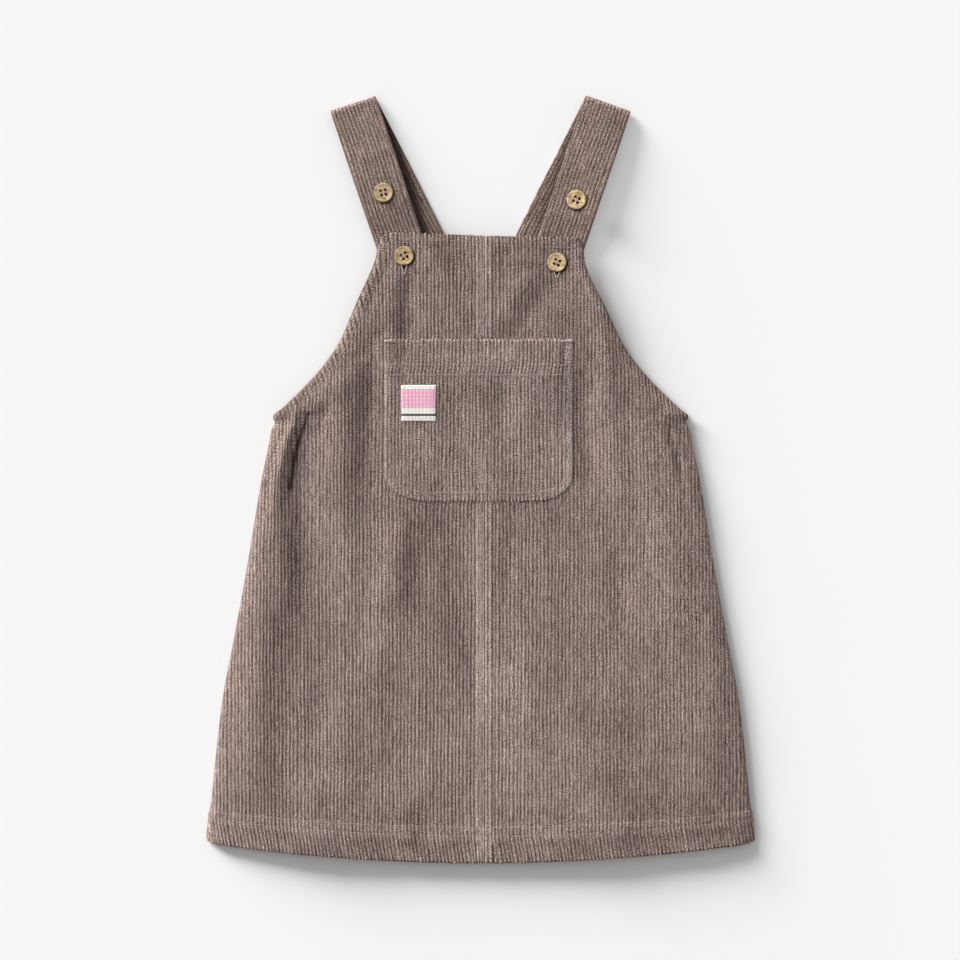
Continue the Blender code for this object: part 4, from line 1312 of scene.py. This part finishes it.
def button_mesh():
    """The profile turned round its axis, and drilled."""
    mesh = bpy.data.meshes.new("button_profile")
    links = [(k, k + 1) for k in range(len(BUTTON_PROFILE) - 1)]
    mesh.from_pydata([(radius, 0, z) for radius, z in BUTTON_PROFILE], links, [])
    drill_mesh = bpy.data.meshes.new("button_drill")
    build = bmesh.new()
    half = BUTTON_HOLE_SPACING / 2
    for across in (-half, half):
        for along in (-half, half):
            made = bmesh.ops.create_cone(
                build, cap_ends=True, segments=16, depth=3 * BUTTON_THICK,
                radius1=BUTTON_HOLE_RADIUS, radius2=BUTTON_HOLE_RADIUS,
            )
            bmesh.ops.translate(build, verts=made["verts"], vec=(across, along, 0))
    build.to_mesh(drill_mesh)
    build.free()
    blank, drill = link_object("button_blank", mesh), link_object("button_drill", drill_mesh)
    turned = blank.modifiers.new("Turn", "SCREW")
    turned.steps = turned.render_steps = 64
    turned.use_merge_vertices = True
    turned.merge_threshold = 0.00002
    cut = blank.modifiers.new("Holes", "BOOLEAN")
    cut.operation = "DIFFERENCE"
    cut.object = drill
    graph = bpy.context.evaluated_depsgraph_get()
    finished = bpy.data.meshes.new_from_object(blank.evaluated_get(graph))
    finished.set_sharp_from_angle(angle=math.radians(50))
    for helper in (blank, drill):
        bpy.data.objects.remove(helper, do_unlink=True)
    return finished


def button_material():
    """Pale corozo nut: cream to tan with olive clouding and fine pores."""
    made, tree, shader = blank_material("button_nut")
    place = node(tree, "TexCoord").outputs["Object"]
    shade = point_value(tree, "shade")["Fac"]
    cloud = noise(tree, stretched(tree, place, (300, 520, 400)), 3.0, 0.6)
    pores = noise(tree, stretched(tree, place, (1100, 1500, 1100)), 2.0, 0.5)
    share = clamp(tree, calc(tree, "MULTIPLY_ADD", cloud, 4.2, 0.66))
    colour = blend_colour(tree, share, (0.300, 0.190, 0.070, 1), (0.648, 0.496, 0.290, 1))
    pit = clamp(tree, calc(tree, "MULTIPLY_ADD", pores, 20.0, -1.9))
    colour = blend_colour(tree, pit, colour, (0.130, 0.085, 0.030, 1))
    light = calc(tree, "MULTIPLY", calc(tree, "MULTIPLY_ADD", pores, 1.3, 1.0), shade)
    fill(tree, shader, {
        "Base Color": lit_colour(tree, colour, light),
        "Normal": bump(tree, 0.3, 0.0002, pores),
        "Roughness": 0.42,
    })
    return made


def thread_material(name, colour, spread):
    """Twisted cotton thread."""
    made, tree, shader = blank_material(name)
    place = node(tree, "TexCoord").outputs["Object"]
    speck = noise(tree, stretched(tree, place, (900, 900, 900)), 2.0, 0.6)
    light = calc(tree, "MULTIPLY_ADD", speck, spread, 1.0)
    fill(tree, shader, {
        "Base Color": lit_colour(tree, colour, light),
        "Roughness": 0.9,
        "Specular IOR Level": 0.1,
    })
    return made


def plain_material(name, colour):
    """A flat colour with no gloss."""
    made, tree, shader = blank_material(name)
    fill(tree, shader, {"Base Color": colour, "Roughness": 1.0, "Specular IOR Level": 0.0})
    return made


def circle(sides):
    """Cosines and sines round a circle."""
    angle = np.linspace(0, 2 * math.pi, sides, endpoint=False)
    return np.cos(angle), np.sin(angle)


def tube(points, radius, sides=8):
    """Points and faces of a round thread along a line."""
    points = np.array(points)
    forward = unit(np.gradient(points, axis=0))
    aside = np.cross(forward, np.array([0.0, 0.0, 1.0]))
    aside /= np.maximum(np.linalg.norm(aside, axis=1, keepdims=True), 1e-9)
    above = np.cross(aside, forward)
    c, s = circle(sides)
    ring = c[None, :, None] * aside[:, None] + s[None, :, None] * above[:, None]
    quads, caps = tube_faces(len(points), sides)
    return (points[:, None] + radius * ring).reshape(-1, 3), quads.tolist() + caps


def join(name, parts, material):
    """One piece of many (points, faces), which rides with the dress."""
    points, faces, start = [], [], 0
    for some, links in parts:
        points.append(some)
        faces += [[k + start for k in face] for face in links]
        start += len(some)
    piece = new_piece(name, np.concatenate(points), faces)
    piece.data.materials.append(material)
    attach(piece, "root")
    return piece


def turned_about(x, y, u, v, turn):
    """The point (u, v) turned by an angle about the origin and moved to (x, y)."""
    c, s = math.cos(turn), math.sin(turn)
    return x + c * u - s * v, y + s * u + c * v


def button_thread(x, y, z, turn):
    """Two crossed bundles of thread through the four holes, drawn tight."""
    half = BUTTON_HOLE_SPACING / 2
    parts = []
    for k, slant in enumerate((1, -1)):
        for off in (-STRANDS_OFF, STRANDS_OFF):
            line = []
            for t in np.linspace(-THREAD_HALF, THREAD_HALF, 13):
                u, v = half * t - off * slant * 0.7, half * t * slant + off * 0.7
                into_hole = max(0.0, abs(t) - DIPS_FROM) / (THREAD_HALF - DIPS_FROM)
                lift = THREAD_RISE + 0.00022 * k * (1 - t * t) - THREAD_DIP * into_hole**1.2
                line.append((*turned_about(x, y, u, v, turn), z + lift))
            parts.append(tube(line, THREAD_RADIUS))
    return parts


def foot_disc(x, y, z):
    """Painted shade under a button: a low disc in a flat dark colour that shows through its holes."""
    c, s = circle(FOOT_SIDES)
    ring = np.stack([x + FOOT_RADIUS * c, y + FOOT_RADIUS * s, 0 * c], 1)
    quads, caps = tube_faces(2, FOOT_SIDES)
    return np.concatenate([ring + [0, 0, z + up] for up in FOOT_HEIGHTS]), quads.tolist() + caps


nut = button_material()
master = button_mesh()
corners = np.empty(3 * len(master.vertices), np.float32)
master.vertices.foreach_get("co", corners)
u, v, w = corners.reshape(-1, 3).T
thread_parts, foot_parts = [], []
for name, side, distance, shift, turn, shade, rim in BUTTONS:
    x, y = strap_place(side, FRONT_RUN_ANGLE, distance, shift)
    on_bib = distance > FRONT_RUN[-2][0]
    z = BIB_OVER_STRAP if on_bib else float(smooth_curve(FRONT_RUN, distance)) + STRAP_THICK / 2
    z += SEAM_GAP - BUTTON_SINK
    turn = math.radians(turn)
    mesh = master.copy()
    placed = np.stack([*turned_about(x, y, u, v, turn), z + w], 1)
    mesh.vertices.foreach_set("co", placed.astype(np.float32).ravel())
    mesh.materials.clear()
    mesh.materials.append(nut)
    tone = mesh.attributes.new("shade", "FLOAT", "POINT")
    # Painted shade on the rim: darker on the side away from the light.
    dx, dy = placed[:, 0] - x, placed[:, 1] - y
    painted_rim_shade = rim * (0.25 + 0.75 * lee_side(dx, dy)) * ease((np.hypot(dx, dy) - RIM_FROM) / RIM_OVER)
    tone.data.foreach_set("value", (shade * (1 - painted_rim_shade)).astype(np.float32))
    button = link_object(name + "_nut", mesh)
    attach(button, "root")
    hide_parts(name)
    thread_parts += button_thread(x, y, z, turn)
    foot_parts.append(foot_disc(x, y, z))
# A flat near-black colour of painted shade, for the discs under the buttons and the sheets in the slits.
painted_shade_dark = plain_material("painted_shade_dark", (0.020, 0.012, 0.010, 1))
join("button_thread", thread_parts, thread_material("button_thread", (0.480, 0.360, 0.330), 0.5))
join("foot_under_buttons", foot_parts, painted_shade_dark)


# ------------------------------------------------------------------ buttonholes
# An upright slit in the bib below each of its buttons. The button holds it open at the top,
# and close satin stitches along both its edges meet in a point at its lower end.

SLITS = ((0.0130, 0.0014), (0.0108, 0.0017))  # below the button's middle, half width at its top
SLIT_TOP = 0.0030  # it ends this far below the middle, under the button
SLIT_WIDENS = 0.6  # and is a point at its lower end, which widens over this share of its length
HOLLOW_FROM = 0.4  # the dark sheet of painted shade in it starts at this share of its length
HOLLOW_HALF = 0.4  # and is this share of its width
SATIN_PITCH = 0.00050
SATIN_LONG = 0.0008
SATIN_RADIUS = 0.00020
HOLLOW_RISE = 0.00012


def slit_place(x, y, low, half, share, aside):
    """A point beside one edge of a slit, share 0 at its lower end and 1 under the button."""
    u = half * min(1.0, share / SLIT_WIDENS) * np.sign(aside) + aside
    v = -low + share * (low - SLIT_TOP)
    return front_face(np.array(x + u), np.array(y + v - bib_tilt(x + u, y + v)))


def satin_edge(x, y, low, half, side):
    """Short threads across one edge of a slit."""
    parts = []
    for k, share in enumerate(np.arange(0, 1, SATIN_PITCH / low)):
        line = []
        for t in np.linspace(0, 1, 5):
            aside = side * (0.00005 + t * (SATIN_LONG + 0.00012 * chance(k, side)))
            base = slit_place(x, y, low, half, share + 0.06 * t, aside)
            line.append(base + np.array([0, 0, 0.00005 + 0.00034 * math.sin(math.pi * (0.12 + 0.76 * t))]))
        parts.append(tube(line, SATIN_RADIUS, 6))
    return parts


satin_parts, hollow_parts = [], []
for (low, half), (name, side, distance, shift, *_) in zip(SLITS, BUTTONS):
    x, y = strap_place(side, FRONT_RUN_ANGLE, distance, shift)
    for edge_side in (-1, 1):
        satin_parts += satin_edge(x, y, low, half, edge_side)
    # A thin dark sheet in the slit's upper part: painted shade in the open slit.
    shares = np.linspace(HOLLOW_FROM, 1, 14)
    left, right = (
        np.array([slit_place(x, y, low, HOLLOW_HALF * half, share, 1e-6 * edge_side) for share in shares])
        for edge_side in (-1, 1)
    )
    raised = np.array([0, 0, HOLLOW_RISE])
    around = (right + raised, right - 4 * raised, left - 4 * raised, left + raised)
    quads, caps = tube_faces(len(left), 4)
    hollow_parts.append((np.stack(around, 1).reshape(-1, 3), quads.tolist() + caps))
satin = thread_material("satin_thread", (0.440, 0.360, 0.330), 0.5)
buttonhole_satin = join("buttonhole_satin", satin_parts, satin)
buttonhole_hollow = join("buttonhole_hollow", hollow_parts, painted_shade_dark)


# ------------------------------------------------------------------ topstitching
# Lockstitch in matching thread: two rows round the hem and along the centre seam, one row
# by each armhole and below the bib's top, and the rows that hold the pocket.

BAR_TACKS = ((-0.0665, -0.0612), (0.0560, 0.0638))  # across the pocket's top corners
TACKS_DOWN = (0.0008, 0.0015)
TACK_PITCH = 0.0009
BIB_ROW_HALF = 0.0655  # how far the row below the bib's top runs each way
STITCH_PITCH = 0.0026
STITCH_LONG = 0.0021
STITCH_RADIUS = 0.00020
LOOSE_RADIUS = 0.00014
STITCH_PROFILE = (  # along, thickness, height
    (-0.50, 0.35, -0.9),
    (-0.34, 0.95, 0.1),
    (0.00, 1.00, 0.5),
    (0.34, 0.95, 0.1),
    (0.50, 0.35, -0.9),
)
STITCH_SIDES = 6
HEM_LAID = 0.00016  # how high the hem's and the seam's stitches lie on the cloth
EDGE_LAID = 0.00012
BACK_LAID = 0.00010
POCKET_LAID = 0.00015
TACK_LAID = 0.00025
STITCH_SLANT = (0.16, 0.08)  # how far each leans across its row, and how unevenly


def stitch_rows(name, rows, pitch=STITCH_PITCH):
    """Stitches along lines: each row is its points and the unit normals of the cloth there.
    A stitch is a short thread that dips into the cloth at both ends."""
    along, thick, lift = (np.repeat(part, STITCH_SIDES) for part in zip(*STITCH_PROFILE))
    c, s = (np.tile(part, len(STITCH_PROFILE)) for part in circle(STITCH_SIDES))
    shape = np.stack([along * STITCH_LONG, thick * STITCH_RADIUS * c, STITCH_RADIUS * (thick * s + lift)], 1)
    quads, caps = tube_faces(len(STITCH_PROFILE), STITCH_SIDES)
    found = []
    for points, normals in rows:
        run = lengths_along(points)
        at = np.arange(0.5 * pitch, run[-1], pitch)
        wanted = ((at, points), (at + pitch / 3, points), (at - pitch / 3, points), (at, normals))
        found.append([
            np.stack([np.interp(there, run, part) for part in values.T], 1) for there, values in wanted
        ])
    centre, ahead, behind, up = (np.concatenate(some) for some in zip(*found))
    forward = unit(ahead - behind)
    aside = unit(np.cross(up, forward))
    up = np.cross(forward, aside)
    k = np.arange(len(centre))
    slant = (STITCH_SLANT[0] + STITCH_SLANT[1] * chance(k, 3))[:, None]
    forward, aside = forward + slant * aside, aside - slant * forward
    centre = centre + 0.00006 * chance(k, 8)[:, None] * aside
    points = centre[:, None] + shape[None, :, :1] * forward[:, None] + shape[None, :, 1:2] * aside[:, None]
    points = points + shape[None, :, 2:] * up[:, None]
    faces = (quads[None] + (k * len(shape))[:, None, None]).reshape(-1, 4).tolist()
    faces += [[v + len(shape) * i for v in cap] for i in k.tolist() for cap in caps]
    piece = new_piece(name, points, faces)
    piece.data.materials.append(stitch_thread)
    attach(piece, "root")
    return piece


def on_face(face, x, row, lift):
    """A row's points and normals, on a face given as face(x, row)."""
    x, row = np.broadcast_arrays(x, row)
    normals = normals_of(face, x, row)
    return face(x, row) + lift * normals, normals


def beside_line(line, aside):
    """A line of points moved to its left by a distance."""
    step = unit(np.gradient(line, axis=0))
    return line + aside * np.stack([-step[:, 1], step[:, 0]], 1)


stitch_thread = thread_material("stitch_thread", (0.450, 0.372, 0.342), 0.4)
below = BIB_TOP_Y - BIB_STITCH
for name, side in (("front_left_stitching", -1), ("front_right_stitching", 1)):
    rows = []
    for up in HEM_STITCHES:
        far = float(side_edge(np.array(HEM_Y + up), FRONT_ARMHOLE)) - 0.002
        rows.append(on_face(front_face, np.sort(np.linspace(SEAM_X, side * far, 220)), HEM_Y + up, HEM_LAID))
    rows.append(on_face(front_face, np.sort(np.linspace(SEAM_X, side * BIB_ROW_HALF, 80)), below, EDGE_LAID))
    for low, high in ((HEM_Y + 0.004, POCKET_BOTTOM_Y), (POCKET_TOP_Y, BIB_TOP_Y - 0.002)):
        rows.append(on_face(front_face, SEAM_X + side * SEAM_STITCH, np.linspace(low, high, 200), HEM_LAID))
    x, y = beside_line(armhole_line, ARMHOLE_STITCH).T
    keep = (y > UNDERARM_Y + 0.002) & (y < below)
    x, y = side * x[keep], y[keep]
    rows.append(on_face(front_face, x, y - bib_tilt(x, y), EDGE_LAID))
    stitch_rows(name, rows)
back_lines = []
for up in HEM_STITCHES:
    far = float(side_edge(np.array(HEM_Y + up), BACK_ARMHOLE)) - 0.002
    points, normals = on_face(back_face, np.linspace(-far, far, 400), HEM_Y + up, BACK_LAID)
    back_lines.append((points, -normals))
back_stitches = stitch_rows("back_stitching", back_lines)
x, y = beside_line(pocket_edge, POCKET_EDGE_STITCH).T
pocket_lines = [on_face(pocket_face, x, y, POCKET_LAID)]
for up in POCKET_HEM_STITCHES:
    x = np.linspace(POCKET_X[0] + 0.001, POCKET_X[1] - 0.001, 120)
    pocket_lines.append(on_face(pocket_face, x, up, POCKET_LAID))
pocket_stitches = stitch_rows("pocket_stitching", pocket_lines)
tack_lines = [
    on_face(pocket_face, np.linspace(*ends, 30), POCKET_TOP_Y - down, TACK_LAID)
    for ends in BAR_TACKS
    for down in TACKS_DOWN
]
pocket_tacks = stitch_rows("pocket_tacks", tack_lines, TACK_PITCH)


def loose_end(face, x, y, length, hook):
    """A short end of thread that lies on the pile and hooks over at its top."""
    line = []
    for t in np.linspace(0, 1, 9):
        aside = hook * (math.sin(2.6 * t) - 0.5 * t)
        line.append(face(np.array(x + aside), np.array(y + length * t)) + [0, 0, 0.00045 + 0.0003 * t])
    return tube(line, LOOSE_RADIUS, 6)


loose_parts = [
    loose_end(pocket_face, -0.0352, 0.0140, 0.0052, 0.0012),
    loose_end(front_face, -0.1897, -0.2395, 0.0050, 0.0008),
]
join("loose_thread", loose_parts, thread_material("loose_thread", (0.620, 0.540, 0.500), 0.3))


# ------------------------------------------------------------------ stage, light and camera
# A pale surface that the dress lies on, soft light from the upper left and a view from above.
# The floor and the buttons with their thread have lights of their own, so that their tones
# and the dress's shadow can each be set.

FLOOR_HALF = 4
FLOOR_BELOW = 0.0001  # clear of the dress's underside

corners = [(x * FLOOR_HALF, y * FLOOR_HALF, -FLOOR_BELOW) for x, y in ((-1, -1), (1, -1), (1, 1), (-1, 1))]
floor = new_piece("floor", np.array(corners), [(0, 1, 2, 3)])
floor.data.materials.append(plain_material("pale_floor", (0.868, 0.868, 0.867, 1)))


def sun(name, elevation, azimuth, width, energy, lit, shading):
    """A soft far light that shines on some objects only, and is shaded by some."""
    data = bpy.data.lights.new(name, "SUN")
    data.energy = energy
    data.angle = math.radians(width)
    made = link_object(name, data)
    made.rotation_euler = (math.radians(90 - elevation), 0, math.radians(azimuth + 90))
    for kind, members in (("receiver", lit), ("blocker", shading)):
        some = bpy.data.collections.new(name + "_" + kind)
        for obj in members:
            some.objects.link(obj)
        setattr(made.light_linking, kind + "_collection", some)


dress = [o for o in bpy.context.scene.objects if o.type == "MESH" and o != floor]
small = [o for o in dress if o.name.startswith("button_")]
large = [o for o in dress if o not in small]
low = [o for o in dress if not o.name.startswith("strap")]
sun("key", 14, 135, 26, 7.6, large, large)
sun("button_key", 40, 135, 14, 3.4, small, small)
sun("floor_key", 12.5, 130, 30, 5.3, [floor], dress)
sun("floor_fill", 9.5, 143, 18, 4.2, [floor], low)
sun("floor_open", 12.5, 128, 30, 0.7, [floor], [])

world = bpy.data.worlds.new("studio")
world.use_nodes = True
fill(world.node_tree, world.node_tree.nodes["Background"].inputs, {"Color": (1, 1, 1, 1), "Strength": 0.43})
bpy.context.scene.world = world

CAMERA_HEIGHT = 4
VIEW_WIDTH = 0.672
SENSOR = 36
camera_data = bpy.data.cameras.new("camera")
camera_data.sensor_width = SENSOR
camera_data.lens = SENSOR * CAMERA_HEIGHT / VIEW_WIDTH
camera_data.clip_end = 20
camera = link_object("camera", camera_data)
camera.location = (-0.00035, -0.0007, CAMERA_HEIGHT)
bpy.context.scene.camera = camera
bpy.context.scene.view_settings.view_transform = "Standard"
